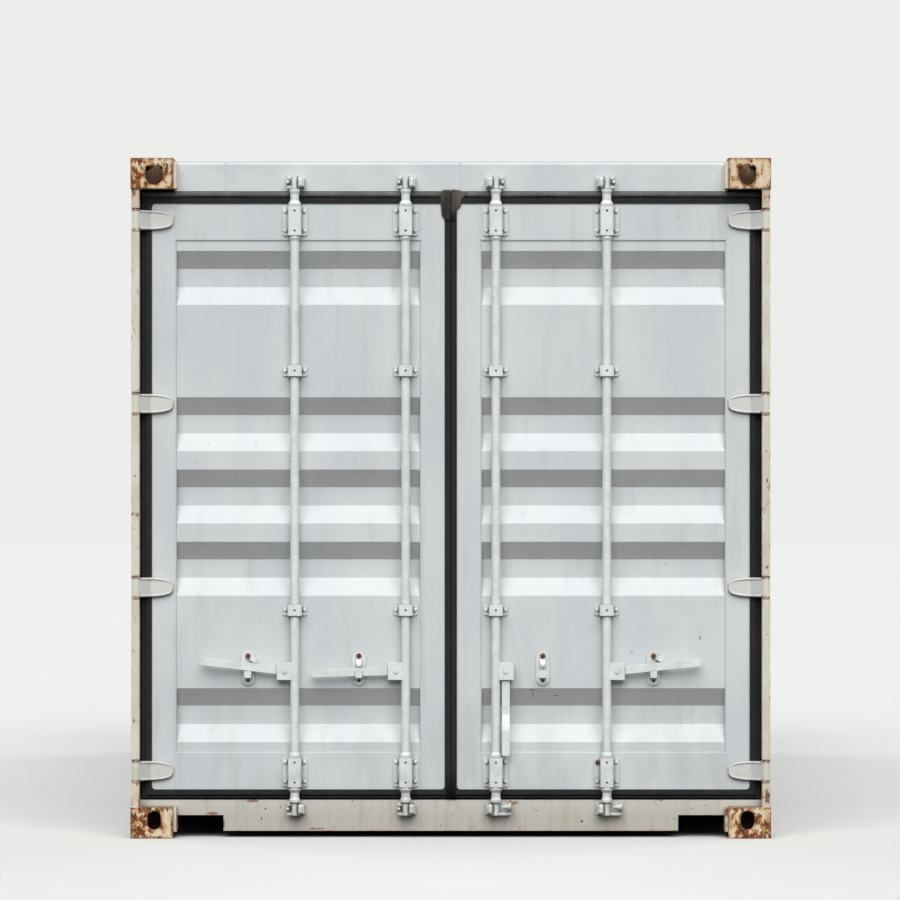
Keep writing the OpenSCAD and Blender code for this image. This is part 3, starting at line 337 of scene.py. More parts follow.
def gear_paint(colours):
    """Galvanised forgings brushed over in pale grey-green: half gloss, with grime and painted shade in the
    gaps.
    """
    material, tree, shader, place = new_material("gear_paint")
    folded = add(tree, "ShaderNodeVectorMath", {0: place}, operation="ABSOLUTE").outputs[0]
    mottled = patches(tree, place, 0.06, 0.35, 0.65)
    runs = patches(tree, place, 0.03, 0.5, 0.8, stretch=(1, 1, 0.12))
    # The blades are greyer than the rods, and the barrels have the posts' cream and rust
    blades = along(tree, folded, "X", 1.0, 1.02)
    barrels = along(tree, folded, "X", 1.18, 1.19)
    bared = patches(tree, place, 0.01, 0.35, 0.5, detail=6.0)
    ends = all_of(tree, barrels, barrel_ends(tree, place), bared)
    edges = all_of(tree, worn_edges(tree, 0.002, 0.02, 0.25), patches(tree, place, 0.03, 0.52, 0.64))
    specks = patches(tree, place, 0.012, 0.7, 0.76, detail=3.0)
    splashed = all_of(tree, along(tree, place, "Z", 0.4, 0.12), patches(tree, place, 0.03, 0.2, 0.7))
    colour = coats(
        tree,
        colours.gear,
        (mottled, colours.gear_faded, 1),
        (runs, colours.road_grime_and_shade, 0.2),
        (blades, colours.blade, 1),
        (barrels, colours.post, 1),
        (any_of(tree, edges, specks, ends), colours.rust, 0.75),
        (splashed, colours.road_grime_and_shade, 0.4),
        # Painted shade: the dark dirt colour in the gaps and round the parts, with some grime
        (occluded_grime_and_shade(tree, 0.03, 0.2, 0.85), colours.dark_grime_and_shade, 0.9),
    )
    rough = add(tree, "ShaderNodeMapRange", {"Value": mottled, "To Min": 0.38, "To Max": 0.52}).outputs[0]
    rounded = add(tree, "ShaderNodeBevel", {"Radius": 0.002}, samples=6).outputs[0]
    brushed = dents(tree, place, 0.003, 0.00008, rounded)
    fill(tree, shader, {"Base Color": colour, "Roughness": rough, "Normal": brushed})
    return material


def beam_paint(colours):
    """Alkyd paint rolled on header and sill: clean above, warm with road film and rust specks below."""
    material, tree, shader, place = new_material("beam_paint")
    folded = add(tree, "ShaderNodeVectorMath", {0: place}, operation="ABSOLUTE").outputs[0]
    mottled = patches(tree, place, 0.2, 0.35, 0.65)
    low = along(tree, place, "Z", 1.5, 1.0)
    film = coats(tree, colours.sill, (along(tree, place, "Z", 0.15, 0.06), colours.sill_low, 1))
    drips = all_of(tree, patches(tree, place, 0.028, 0.45, 0.75, stretch=(1, 1, 0.12), detail=4.0), low)
    foot = along(tree, place, "Z", 0.034, 0.026)
    foot = all_of(tree, foot, patches(tree, place, 0.03, 0.5, 0.62, stretch=(0.4, 1, 2), detail=7.0))
    ends = all_of(tree, along(tree, folded, "X", 1.03, 1.048), along(tree, place, "Z", 2.4, 2.45))
    rusty = marks(tree, place, SILL_RUST, 0.4, patches(tree, place, 0.01, 0.3, 0.6, detail=8.0, rough=0.7))
    dark = marks(tree, place, SILL_SPECKS, 0.5)
    specks = all_of(tree, low, patches(tree, place, 0.016, 0.68, 0.72, detail=3.0))
    edges = all_of(tree, worn_edges(tree, 0.003, 0.02, 0.25), patches(tree, place, 0.04, 0.5, 0.6), low)
    colour = coats(
        tree,
        colours.paint,
        (mottled, colours.paint_faded, 1),
        (low, film, 1),
        (drips, colours.road_grime_and_shade, 0.35),
        # Painted shade: the dark dirt colour in corners and round the keepers, with some dirt
        (occluded_grime_and_shade(tree, 0.03), colours.dark_grime_and_shade, 0.4),
        (foot, colours.rust_bright, 0.45),
        (ends, colours.cream, 0.75),
        (rusty, "#8A5F34", 0.85),
        (dark, "#3A332B", 0.9),
        (any_of(tree, specks, edges), colours.rust_dark, 0.8),
    )
    rolled = dents(tree, place, 0.005, 0.0001)
    fill(tree, shader, {"Base Color": colour, "Roughness": 0.58, "Normal": rolled})
    return material


def seal_rubber(name, under, film):
    """Extruded EPDM door seal: matt near-black, dulled by brown-grey road film."""
    material, tree, shader, place = new_material(name)
    filmed = patches(tree, place, 0.08, 0.4, 0.75, stretch=(1, 1, 0.4))
    look = {
        "Base Color": coats(tree, under, (filmed, film, 1)),
        "Roughness": 0.75,
        "IOR": 1.52,
        "Specular IOR Level": 0.3,
        "Normal": dents(tree, place, 0.003, 0.0001),
    }
    fill(tree, shader, look)
    return material


def rusty_fastener():
    """Forged bolt or rivet head that has lost its zinc: red-brown rust with dark pits."""
    material, tree, shader, place = new_material("rusty_fastener")
    colour = coats(tree, "#7E4A3A", (patches(tree, place, 0.006, 0.4, 0.6), "#4A2C24", 1))
    flaked = dents(tree, place, 0.003, 0.0003)
    fill(tree, shader, {"Base Color": colour, "Roughness": 0.85, "Normal": flaked})
    return material


def old_grease():
    """Lithium grease gone black with dust: dark and slightly wet, and also painted shade of the holes that
    it fills.
    """
    material, tree, shader, place = new_material("old_grease")
    colour = coats(tree, "#1B1815", (patches(tree, place, 0.004, 0.4, 0.7), "#3A342C", 1))
    fill(tree, shader, {"Base Color": colour, "Roughness": 0.4})
    return material


def strip_steel():
    """Hot-dip galvanised strip that holds a door seal: grey spangled zinc with white bloom."""
    material, tree, shader, place = new_material("strip_steel")
    colour = coats(tree, "#9A9EA0", (patches(tree, place, 0.03, 0.4, 0.7), "#C2C4C2", 1))
    fill(tree, shader, {"Base Color": colour, "Metallic": 0.6, "Roughness": 0.45})
    return material


def underframe_coat(colours):
    """Waxy bitumen undercoat sprayed on the beams below the floor, dusty and rust-spotted."""
    material, tree, shader, place = new_material("underframe_coat")
    colour = coats(
        tree,
        "#2C2A28",
        (patches(tree, place, 0.1, 0.4, 0.7), "#5E564C", 0.8),
        (patches(tree, place, 0.03, 0.6, 0.68), colours.rust_dark, 0.8),
    )
    sprayed = dents(tree, place, 0.006, 0.0004)
    fill(tree, shader, {"Base Color": colour, "Roughness": 0.75, "Normal": sprayed})
    return material


def floor_plywood():
    """Keruing marine plywood, worn by loads: red-brown veneer with long grain and dark scuffs."""
    material, tree, shader, place = new_material("floor_plywood")
    grain = patches(tree, place, 0.01, 0.3, 0.7, stretch=(1, 0.03, 1), detail=8.0)
    worn = patches(tree, place, 0.2, 0.45, 0.7)
    colour = coats(tree, "#8A5B3A", (grain, "#6B4128", 1), (worn, "#4A3A2E", 0.5))
    ridged = dents(tree, place, 0.008, 0.0003)
    fill(tree, shader, {"Base Color": colour, "Roughness": 0.7, "Normal": ridged})
    return material


def studio_floor(colour):
    """Plain painted studio floor, that throws little light back up, as the yard's concrete does."""
    material, tree, shader, _ = new_material("studio_floor")
    path = add(tree, "ShaderNodeLightPath")
    seen = coats(tree, "#2C2B2A", (path.outputs["Is Camera Ray"], colour, 1))
    fill(tree, shader, {"Base Color": seen, "Roughness": 0.9})
    return material


# Middle of the castings' holes: out from the container's middle, and above the ground
HOLE_X = CAD_BOX[1][0] - 0.0895
LOWER_HOLE_Z = 0.0695
UPPER_HOLE_Z = CAD_BOX[1][2] - 0.066

# Half the container's length
DEPTH = CAD_BOX[1][1]
# Corners whose paint has gone first, and how much
WEAK_CORNERS = (
    ((-1.17, -DEPTH, UPPER_HOLE_Z + 0.02), 0.9),
    ((-1.19, -DEPTH, LOWER_HOLE_Z - 0.01), 0.9),
    ((1.14, -DEPTH, LOWER_HOLE_Z - 0.04), 0.9),
)

# Cam keepers: their middles above the ground, half their height, and their reach from the rod's axis
KEEPER_ZS = (0.110, CAD_BOX[1][2] - 0.091)
KEEPER_HALF = 0.024
KEEPER_INWARD = 0.036
KEEPER_OUTWARD = 0.026
# How far the seals' lips and folded corners stop short of the middle of the joint between the leaves
JOINT_GAP = 0.0008
# How wide a post shows beside the doors
POST_WIDTH = 0.030
# The lowest hinge above the ground, and the step from each to the next
HINGE_LOW = 0.255
HINGE_STEP = (CAD_BOX[1][2] - 0.235 - HINGE_LOW) / 3
# Half a hinge barrel's height
BARREL_HALF = 0.0385
# Front of a catch's rivet, from its rod's axis plane, and the hole in the catch below it
RIVET_FRONT = 0.0175
CATCH_HOLE_DROP = 0.096
# Large rod brackets: their middles in from the leaf's ends, and their holes from there
BRACKET_MIDDLE = 0.072
BRACKET_HOLE = 0.038
# Hinge blade seen from the door end: from the pin's axis to the tip, straight part, half heights
BLADE_REACH = 0.141
BLADE_OUTLINE = ((0.018, 0.037), (0.072, 0.037), (0.103, 0.0335), (0.127, 0.0271), (0.136, 0.021))
# A blade's rib in section: distance in from the edge, and rise over the blade's face
RIB_PROFILE = (
    (0.0004, -0.007), (0.0012, 0.0012), (0.0035, 0.0030),
    (0.0070, 0.0030), (0.0094, 0.0012), (0.0098, -0.002),
)
# How far short of the tip the ribs end, and the length over which they die away
RIB_END = 0.004
RIB_FADE = 0.045
# The bolt that has rusted, from rod 4's axis and the leaf's lower front edge
RUSTY_BOLT = (-0.0355, -0.0085, 0.109)
# Where the header's plate is joined, out from the middle
HEADER_SEAMS = (-0.859, 0.038)
# The folded seal corners: reach from the middle and height over the header's underside, from top to bottom
FLAP_LEFT = (
    (0.030, 0.005), (0.0385, -0.002), (0.0386, -0.045), (0.034, -0.093), (0.025, -0.105), (0.0228, -0.113),
)
FLAP_RIGHT = (
    (0.016, 0.006), (0.040, 0.002), (0.0655, -0.0075), (0.043, -0.026),
    (0.037, -0.059), (0.0235, -0.071), (0.0223, -0.113),
)

# Lamps: name, azimuth, elevation and strength, and how wide each shines, in degrees
LAMPS = (
    ("key", 0.0, 47.0, 3.25, 60.0),
    ("right_fill", 125.0, 10.0, 1.75, 50.0),
    ("left_fill", -125.0, 10.0, 1.75, 50.0),
)
# Half the studio floor's width, the camera's sensor, and where the camera stood beside the middle
FLOOR_HALF = 60.0
SENSOR_MM = 36.0
CAMERA_X = -0.003

# Rust spots and dark specks on the sill, seen in the picture: centre, radius and stretch
SILL_RUST = (
    ((-0.761, -2.957, 0.139), 0.045, (1.0, 0.3, 5.0)),
    ((-0.911, -2.957, 0.091), 0.04, (1.0, 0.3, 4.0)),
    ((-0.511, -2.957, 0.033), 0.05, (1.0, 0.3, 7.0)),
    ((-0.866, -2.957, 0.045), 0.04, (8.0, 0.3, 1.0)),
    ((0.803, -2.957, 0.142), 0.012, (1.0, 0.3, 1.5)),
    ((0.232, -2.957, 0.131), 0.05, (1.0, 0.3, 3.0)),
)
SILL_SPECKS = (
    ((-0.7075, -2.957, 0.109), 0.006, (1.0, 0.3, 1.0)),
    ((-0.723, -2.957, 0.072), 0.010, (2.5, 0.3, 1.0)),
    ((0.5006, -2.957, 0.061), 0.008, (1.0, 0.3, 1.0)),
)

# Dark scuffs in the door paint, seen in the picture: centre, radius and stretch
SCUFFS = (
    ((0.314, -2.95, 0.548), 0.026, (8.0, 0.3, 1.0)),
    ((0.309, -2.95, 0.563), 0.016, (1.0, 0.3, 6.0)),
    ((0.312, -2.95, 0.483), 0.014, (3.5, 0.3, 1.0)),
    ((0.403, -2.95, 0.541), 0.016, (1.0, 0.3, 4.0)),
    ((0.346, -2.95, 0.494), 0.007, (1.0, 0.3, 1.0)),
    ((0.254, -2.95, 0.475), 0.012, (4.0, 0.3, 1.0)),
    ((0.694, -2.95, 0.706), 0.009, (1.0, 0.3, 1.0)),
    ((0.952, -2.95, 0.762), 0.015, (2.5, 0.3, 1.0)),
)


def blade_face(x):
    """How far a hinge blade's face is behind the pin's axis, at a distance from it towards the door."""
    near_pin, near_leaf = (0.0128, -0.0096), (0.055, 0.032)
    part = max(0.0, min(1.0, (x - near_pin[0]) / (near_leaf[0] - near_pin[0])))
    return near_pin[1] + part * (near_leaf[1] - near_pin[1])


def rib_line(steps=6):
    """Points along a blade's upper outline, each with the direction into the blade."""
    line = [Vector(point) for point in BLADE_OUTLINE]
    points = []
    for first, second in zip(line, line[1:]):
        points += [first.lerp(second, step / steps) for step in range(steps)]
    points.append(line[-1])
    for index, point in enumerate(points):
        run = (points[min(index + 2, len(points) - 1)] - points[max(index - 2, 0)]).normalized()
        yield (point.x, point.y), (run.y, -run.x)


def paint(material, *names):
    """Gives CAD nodes their material."""
    for name in names:
        mesh = NODES[name].data
        mesh.materials.clear()
        mesh.materials.append(material)


def as_object(name, build):
    """A bmesh as an object in the scene."""
    mesh = bpy.data.meshes.new(name)
    build.to_mesh(mesh)
    build.free()
    for face in mesh.polygons:
        face.use_smooth = True
    piece = bpy.data.objects.new(name, mesh)
    bpy.context.scene.collection.objects.link(piece)
    return piece


def keep(name, build, material, body):
    """Makes a bmesh a finished piece that rides on a body."""
    piece = as_object(name, build)
    piece.data.materials.append(material)
    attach(piece, body)
    return piece


def pebble(name, length, height, width, across=8, rings=5):
    """A flattened ball: a weld ripple, rivet head or screw head. Height is towards the viewer."""
    build = bmesh.new()
    bmesh.ops.create_uvsphere(build, u_segments=across, v_segments=rings, radius=1.0)
    bmesh.ops.scale(build, vec=(length, height, width), verts=build.verts)
    return as_object(name, build)


def repeat_on_points(name, points, shape, material, body, size=1.0):
    """Sets a shape on each (place, turn) with Geometry Nodes, and keeps the result as a plain mesh."""
    seeds = bpy.data.meshes.new(name + "_points")
    seeds.from_pydata([place for place, _ in points], [], [])
    turns = seeds.attributes.new("turn", "FLOAT_VECTOR", "POINT")
    turns.data.foreach_set("vector", [v for _, turn in points for v in turn])
    holder = bpy.data.objects.new(name + "_seed", seeds)
    bpy.context.scene.collection.objects.link(holder)
    tree = bpy.data.node_groups.new(name + "_tree", "GeometryNodeTree")
    tree.interface.new_socket("Geometry", in_out="INPUT", socket_type="NodeSocketGeometry")
    size_socket = tree.interface.new_socket("Size", in_out="INPUT", socket_type="NodeSocketFloat")
    tree.interface.new_socket("Geometry", in_out="OUTPUT", socket_type="NodeSocketGeometry")
    given = add(tree, "NodeGroupInput")
    one = add(tree, "GeometryNodeObjectInfo", {"Object": shape})
    turn = add(tree, "GeometryNodeInputNamedAttribute", {"Name": "turn"}, data_type="FLOAT_VECTOR")
    put = add(
        tree,
        "GeometryNodeInstanceOnPoints",
        {
            "Points": given.outputs["Geometry"],
            "Instance": one.outputs["Geometry"],
            "Rotation": turn.outputs["Attribute"],
            "Scale": given.outputs["Size"],
        },
    )
    real = add(tree, "GeometryNodeRealizeInstances", {"Geometry": put.outputs[0]})
    skin = add(tree, "GeometryNodeSetMaterial", {"Geometry": real.outputs[0], "Material": material})
    add(tree, "NodeGroupOutput", {0: skin.outputs[0]})
    modifier = holder.modifiers.new("repeat", "NODES")
    modifier.node_group = tree
    modifier[size_socket.identifier] = size
    bpy.context.view_layer.update()
    solid = holder.evaluated_get(bpy.context.evaluated_depsgraph_get())
    mesh = bpy.data.meshes.new_from_object(solid)
    mesh.name = name
    if not mesh.polygons:
        raise RuntimeError(name + " came out empty")
    piece = bpy.data.objects.new(name, mesh)
    bpy.context.scene.collection.objects.link(piece)
    bpy.data.objects.remove(holder)
    bpy.data.objects.remove(shape)
    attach(piece, body)
    return piece


def seam(start, end, pitch=0.005):
    """Places along a weld seam in the plane of the doors, each turned to run along it."""
    start, end = Vector(start), Vector(end)
    run = end - start
    count = max(2, round(run.length / pitch))
    turn = (0.0, -math.atan2(run.z, run.x), 0.0)
    return [(start + run * (step / (count - 1)), turn) for step in range(count)]


def spaced(start, end, pitch):
    """Even places from start to end, both included, about that pitch apart."""
    count = max(1, round(abs(end - start) / pitch))
    return [start + (end - start) * step / count for step in range(count + 1)]


def ribbon(build, rows, thick, bulge, across=6):
    """A rubber strip between pairs of edge points, bulging towards the viewer across its width."""
    grids = []
    for depth in (0.0, thick):
        grid = []
        for left, right in rows:
            line = []
            for step in range(across + 1):
                part = step / across
                point = Vector(left).lerp(Vector(right), part)
                point.y += depth - bulge * math.sin(math.pi * part)
                line.append(build.verts.new(point))
            grid.append(line)
        grids.append(grid)
    front, back = grids
    last = len(rows) - 1
    for row in range(last):
        for step in range(across):
            for grid in grids:
                near_row, far_row = grid[row], grid[row + 1]
                build.faces.new((near_row[step], near_row[step + 1], far_row[step + 1], far_row[step]))
        for edge in (0, across):
            build.faces.new((front[row][edge], front[row + 1][edge], back[row + 1][edge], back[row][edge]))
    for row in (0, last):
        for step in range(across):
            build.faces.new((front[row][step], front[row][step + 1], back[row][step + 1], back[row][step]))
    bmesh.ops.recalc_face_normals(build, faces=build.faces)


class ContainerColours(bpy.types.PropertyGroup):
    """Colours of the finishes, as sRGB hex."""

    paint: bpy.props.StringProperty(
        name="Paint", description="Grey of the walls and doors", default="#CFD4D6"
    )
    paint_faded: bpy.props.StringProperty(
        name="Faded paint", description="Chalked grey", default="#DADDDD"
    )
    cream: bpy.props.StringProperty(
        name="Cream", description="Old cream paint of the castings", default="#ECDDC2"
    )
    cream_dark: bpy.props.StringProperty(
        name="Dark cream", description="Pinkish dirty cream", default="#E2C9A4"
    )
    post: bpy.props.StringProperty(
        name="Post", description="Old pale paint of the posts", default="#E3DED0"
    )
    post_dark: bpy.props.StringProperty(
        name="Dark post", description="Dirty paint of the posts", default="#D3CBB8"
    )
    gear: bpy.props.StringProperty(
        name="Gear", description="Paint of rods, handles and brackets", default="#ECF1EF"
    )
    gear_faded: bpy.props.StringProperty(
        name="Faded gear", description="Dull paint of the gear", default="#DFE4E0"
    )
    blade: bpy.props.StringProperty(
        name="Blade", description="Paint of the hinge blades", default="#D9DAD5"
    )
    sill: bpy.props.StringProperty(name="Sill", description="Paint of the sill's top", default="#CFCBC1")
    sill_low: bpy.props.StringProperty(
        name="Sill foot", description="Paint of the sill's foot", default="#C2BEB2"
    )
    rust: bpy.props.StringProperty(name="Rust", description="Brown rust", default="#8F5329")
    rust_bright: bpy.props.StringProperty(
        name="Bright rust", description="Fresh orange rust", default="#CB8342"
    )
    ochre: bpy.props.StringProperty(
        name="Ochre", description="Paint that rust shines through", default="#E0BC82"
    )
    rust_dark: bpy.props.StringProperty(name="Dark rust", description="Old dark rust", default="#4E2C1C")
    # Dark rust inside the castings, that also paints the shade in their holes
    rust_and_shade_inside: bpy.props.StringProperty(
        name="Rust inside", description="Rust in the castings", default="#5E4630"
    )
    stain: bpy.props.StringProperty(name="Stain", description="Rust that has run", default="#D0A070")
    # Road dirt; also laid on down-facing faces as painted shade
    road_grime_and_shade: bpy.props.StringProperty(name="Dirt", description="Road dirt", default="#9C968A")
    # Thick road dirt, used as painted shade in corners, in gaps and round the parts that stand out
    dark_grime_and_shade: bpy.props.StringProperty(
        name="Dark dirt", description="Thick road dirt", default="#5A5248"
    )
    seal: bpy.props.StringProperty(
        name="Seal", description="Rubber of the door seals", default="#202123"
    )
    seal_film: bpy.props.StringProperty(
        name="Seal film", description="Road film on the seals", default="#2B2926"
    )
    # Paler rubber of the seals' upper lip
    lip: bpy.props.StringProperty(
        name="Lip", description="Dusty upper lip of the seals", default="#5C5E5B"
    )
    lip_film: bpy.props.StringProperty(
        name="Lip film", description="Thick dust on the upper lip", default="#7A7B77"
    )
    crease: bpy.props.StringProperty(
        name="Crease", description="Folded corner of the seals", default="#2B2927"
    )
    crease_film: bpy.props.StringProperty(
        name="Crease film", description="Brown dust on the corner", default="#6E675D"
    )
    studio: bpy.props.StringProperty(name="Studio", description="Studio floor", default="#D9D8D5")


class ContainerSizes(bpy.types.PropertyGroup):
    """Sizes of the view that the picture was taken from."""

    camera_distance: bpy.props.FloatProperty(
        name="Camera distance", description="From the door end", default=20.5, unit="LENGTH"
    )
    camera_height: bpy.props.FloatProperty(
        name="Camera height", description="Above the ground", default=1.479, unit="LENGTH"
    )
    view_width: bpy.props.FloatProperty(
        name="View width", description="Width seen at the door end", default=3.425, unit="LENGTH"
    )


class CONTAINER_OT_stage(bpy.types.Operator):
    """Sets up the floor, backdrop, lights and camera"""

    bl_idname = "container.stage"
    bl_label = "Stage"

    def execute(self, context):
        sizes = context.scene.container_sizes
        colours = context.scene.container_colours
        scene = context.scene
        material = studio_floor(colours.studio)
        build = bmesh.new()
        bmesh.ops.create_grid(build, x_segments=1, y_segments=1, size=FLOOR_HALF)
        mesh = bpy.data.meshes.new("studio_floor")
        build.to_mesh(mesh)
        build.free()
        mesh.materials.append(material)
        floor = bpy.data.objects.new("studio_floor", mesh)
        scene.collection.objects.link(floor)
        world = bpy.data.worlds.new("studio_world")
        world.use_nodes = True
        tree = world.node_tree
        tree.nodes.clear()
        path = add(tree, "ShaderNodeLightPath")
        lit = add(tree, "ShaderNodeBackground", {"Color": linear("#F6FAFF"), "Strength": 0.3})
        seen = add(tree, "ShaderNodeBackground", {"Color": linear("#EDEDEB"), "Strength": 1.0})
        mix = add(
            tree,
            "ShaderNodeMixShader",
            {0: path.outputs["Is Camera Ray"], 1: lit.outputs[0], 2: seen.outputs[0]},
        )
        add(tree, "ShaderNodeOutputWorld", {"Surface": mix.outputs[0]})
        scene.world = world
        for lamp in LAMPS:
            self.lamp(scene, *lamp)
        camera_data = bpy.data.cameras.new("picture_camera")
        camera_data.sensor_width = SENSOR_MM
        camera_data.lens = SENSOR_MM * sizes.camera_distance / sizes.view_width
        camera_data.clip_end = 200.0
        camera = bpy.data.objects.new("picture_camera", camera_data)
        camera.location = (CAMERA_X, CAD_BOX[0][1] - sizes.camera_distance, sizes.camera_height)
        camera.rotation_euler = (math.radians(90), 0, 0)
        scene.collection.objects.link(camera)
        scene.camera = camera
        scene.view_settings.view_transform = "Standard"
        return {"FINISHED"}

    def lamp(self, scene, name, azimuth, elevation, strength, softness):
        """A soft sun from one side."""
        data = bpy.data.lights.new(name, "SUN")
        data.energy = strength
        data.angle = math.radians(softness)
        lamp = bpy.data.objects.new(name, data)
        lamp.rotation_euler = (math.radians(90 - elevation), 0, math.radians(azimuth))
        scene.collection.objects.link(lamp)


class CONTAINER_OT_walls(bpy.types.Operator):
    """Paints the walls, roof, rails and doors"""

    bl_idname = "container.walls"
    bl_label = "Walls and doors"

    def execute(self, context):
        material = container_paint(context.scene.container_colours)
        paint(
            material,
            "front_posts", "front_top_rail", "front_bottom_rail", "front_wall", "top_side_rails",
            "bottom_side_rails", "left_side_wall", "right_side_wall", "roof_sheet",
            "left_door_frame", "left_door_panel", "right_door_frame", "right_door_panel",
        )
        for _, side in SIDES:
            self.panel_welds(side, material)
        return {"FINISHED"}

    def panel_welds(self, side, material):
        """The bead round a door panel, and the short ones where rails meet uprights."""
        low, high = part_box(side + "_door_panel")
        frame_low, frame_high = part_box(side + "_door_frame")
        y = low.y
        beads = seam((low.x, y, low.z), (high.x, y, low.z)) + seam((low.x, y, high.z), (high.x, y, high.z))
        for x in (low.x, high.x):
            beads += seam((x, y, low.z), (x, y, high.z))
        repeat_on_points(
            side + "_panel_welds", beads, pebble("ripple", 0.0042, 0.0035, 0.005), material,
            side + "_door",
        )
        face = frame_low.y
        joints = []
        for x in (low.x, high.x):
            joints += seam((x, face, frame_low.z + 0.004), (x, face, low.z), 0.004)
            joints += seam((x, face, high.z), (x, face, frame_high.z - 0.004), 0.004)
        repeat_on_points(
            side + "_frame_welds", joints, pebble("ripple", 0.0035, 0.0009, 0.002), material,
            side + "_door",
        )


class CONTAINER_OT_end_frame(bpy.types.Operator):
    """Finishes the castings, posts, header and sill"""

    bl_idname = "container.end_frame"
    bl_label = "End frame"

    def execute(self, context):
        colours = context.scene.container_colours
        posts = post_paint(colours)
        beams = beam_paint(colours)
        paint(cast_steel_rust(colours), "door_end_castings", "front_end_castings")
        paint(posts, "door_posts", "hinge_pins", "sill_end_plates")
        paint(beams, "door_header", "door_sill")
        self.beam_welds(beams)
        self.post_welds(posts)
        return {"FINISHED"}

    def beam_welds(self, material):
        """Seams in the header and round the keepers."""
        low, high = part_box("door_header")
        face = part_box("door_sill")[0].y
        beads = []
        for x in HEADER_SEAMS:
            beads += seam((x, face, low.z + 0.002), (x, face, high.z - 0.002), 0.004)
        ripple = pebble("ripple", 0.0036, 0.0012, 0.0022)
        repeat_on_points("header_seams", beads, ripple, material, "container")
        beads = []
        for number in range(1, 5):
            axis = PIVOTS["lock_rod_%d_turn" % number]
            side = -1 if axis.x < 0 else 1
            for middle in KEEPER_ZS:
                ends = [axis.x - side * KEEPER_INWARD, axis.x + side * KEEPER_OUTWARD]
                for z in (middle - KEEPER_HALF, middle + KEEPER_HALF):
                    beads += seam((min(ends), face, z), (max(ends), face, z))
        ripple = pebble("ripple", 0.0042, 0.003, 0.0032)
        repeat_on_points("keeper_welds", beads, ripple, material, "container")

    def post_welds(self, material):
        """Beads where posts and header meet the castings."""
        low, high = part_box("door_posts")
        inner = high.x - POST_WIDTH
        head_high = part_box("door_header")[1]
        casting_x = head_high.x
        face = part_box("door_sill")[0].y
        beads = []
        for side, _ in SIDES:
            for z in (low.z, high.z):
                beads += seam((side * inner, low.y, z), (side * (high.x - 0.002), low.y, z))
            x = side * casting_x
            beads += seam((x, face, high.z + 0.004), (x, face, head_high.z - 0.004))
        ripple = pebble("ripple", 0.0042, 0.003, 0.0035)
        repeat_on_points("post_welds", beads, ripple, material, "container")


class CONTAINER_OT_gear(bpy.types.Operator):
    """Finishes the lock gear"""

    bl_idname = "container.gear"
    bl_label = "Lock gear"

    def execute(self, context):
        colours = context.scene.container_colours
        material = gear_paint(colours)
        names = ["cam_keepers"]
        for _, side in SIDES:
            names += [side + "_hinge_blades", side + "_rod_brackets", side + "_handle_catches"]
        for number in range(1, 5):
            names += ["lock_rod_%d" % number, "handle_%d" % number, "catch_cover_%d" % number]
        paint(material, *names)
        rusty = rusty_fastener()
        for number in range(1, 5):
            self.rivet(number, rusty)
        self.bolt(rusty)
        for sign, side in SIDES:
            self.lube_and_shade_plugs(side, old_grease())
            self.blade_ribs(sign, side, material)
        return {"FINISHED"}

    def blade_ribs(self, sign, side, material):
        """Raised ribs along both edges of each hinge blade, that die away towards the tip."""
        pin = PIVOTS[side + "_door_swing"]
        build = bmesh.new()
        for number in range(4):
            for up in (-1, 1):
                rings = []
                for (x, height), (across, out) in rib_line():
                    fade = max(0.0, min(1.0, (BLADE_REACH - RIB_END - x) / RIB_FADE))
                    ring = []
                    for inward, rise in RIB_PROFILE:
                        point_x = x + across * inward
                        point_z = height + out * inward
                        y = pin.y + blade_face(point_x) - rise * (fade if rise > 0 else 1)
                        z = HINGE_LOW + number * HINGE_STEP + up * point_z
                        ring.append(build.verts.new((sign * (abs(pin.x) - point_x), y, z)))
                    rings.append(ring)
                for first, second in zip(rings, rings[1:]):
                    for step in range(len(first)):
                        after = (step + 1) % len(first)
                        build.faces.new((first[step], first[after], second[after], second[step]))
                build.faces.new(rings[0])
                build.faces.new(rings[-1])
        bmesh.ops.recalc_face_normals(build, faces=build.faces)
        keep(side + "_blade_ribs", build, material, side + "_door")

    def lube_and_shade_plugs(self, side, material):
        """Dark grease plugs in the holes of the large brackets' raised parts and in each catch's hole, that
        also paint the holes' shade.
        """
        low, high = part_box(side + "_door_frame")
        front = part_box(side + "_rod_brackets")[0].y
        spots = []
        for number in (1, 2) if side == "left" else (3, 4):
            axis = PIVOTS["lock_rod_%d_turn" % number]
            rivet = PIVOTS["catch_cover_%d_swing" % number]
            spots.append(((rivet.x, low.y - 0.0005, rivet.z - CATCH_HOLE_DROP), (0, 0, 0)))
            for middle in (low.z + BRACKET_MIDDLE, high.z - BRACKET_MIDDLE):
                for step in (-BRACKET_HOLE, BRACKET_HOLE):
                    spots.append(((axis.x, front + 0.0022, middle + step), (0, 0, 0)))
        plug = pebble("plug", 0.0039, 0.0016, 0.0039, 14, 8)
        repeat_on_points(side + "_grease", spots, plug, material, side + "_door")

    def rivet(self, number, material):
        """The rusty head of the rivet that a catch's cover hangs from."""
        pivot = PIVOTS["catch_cover_%d_swing" % number]
        side = "left" if number < 3 else "right"
        front = pivot.y + RIVET_FRONT
        repeat_on_points(
            "catch_rivet_%d" % number, [((pivot.x, front, pivot.z), (0, 0, 0))],
            pebble("head", 0.0092, 0.0034, 0.0092, 20, 12), material, side + "_door",
        )

    def bolt(self, material):
        """The one bolt of the lower right bracket whose zinc is gone."""
        axis = PIVOTS["lock_rod_4_turn"]
        frame_low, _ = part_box("right_door_frame")
        right, out, up = RUSTY_BOLT
        place = (axis.x + right, frame_low.y + out, frame_low.z + up)
        repeat_on_points(
            "rusty_bolt", [(place, (0, 0, 0))], pebble("head", 0.0086, 0.0042, 0.0086, 20, 12),
            material, "right_door",
        )


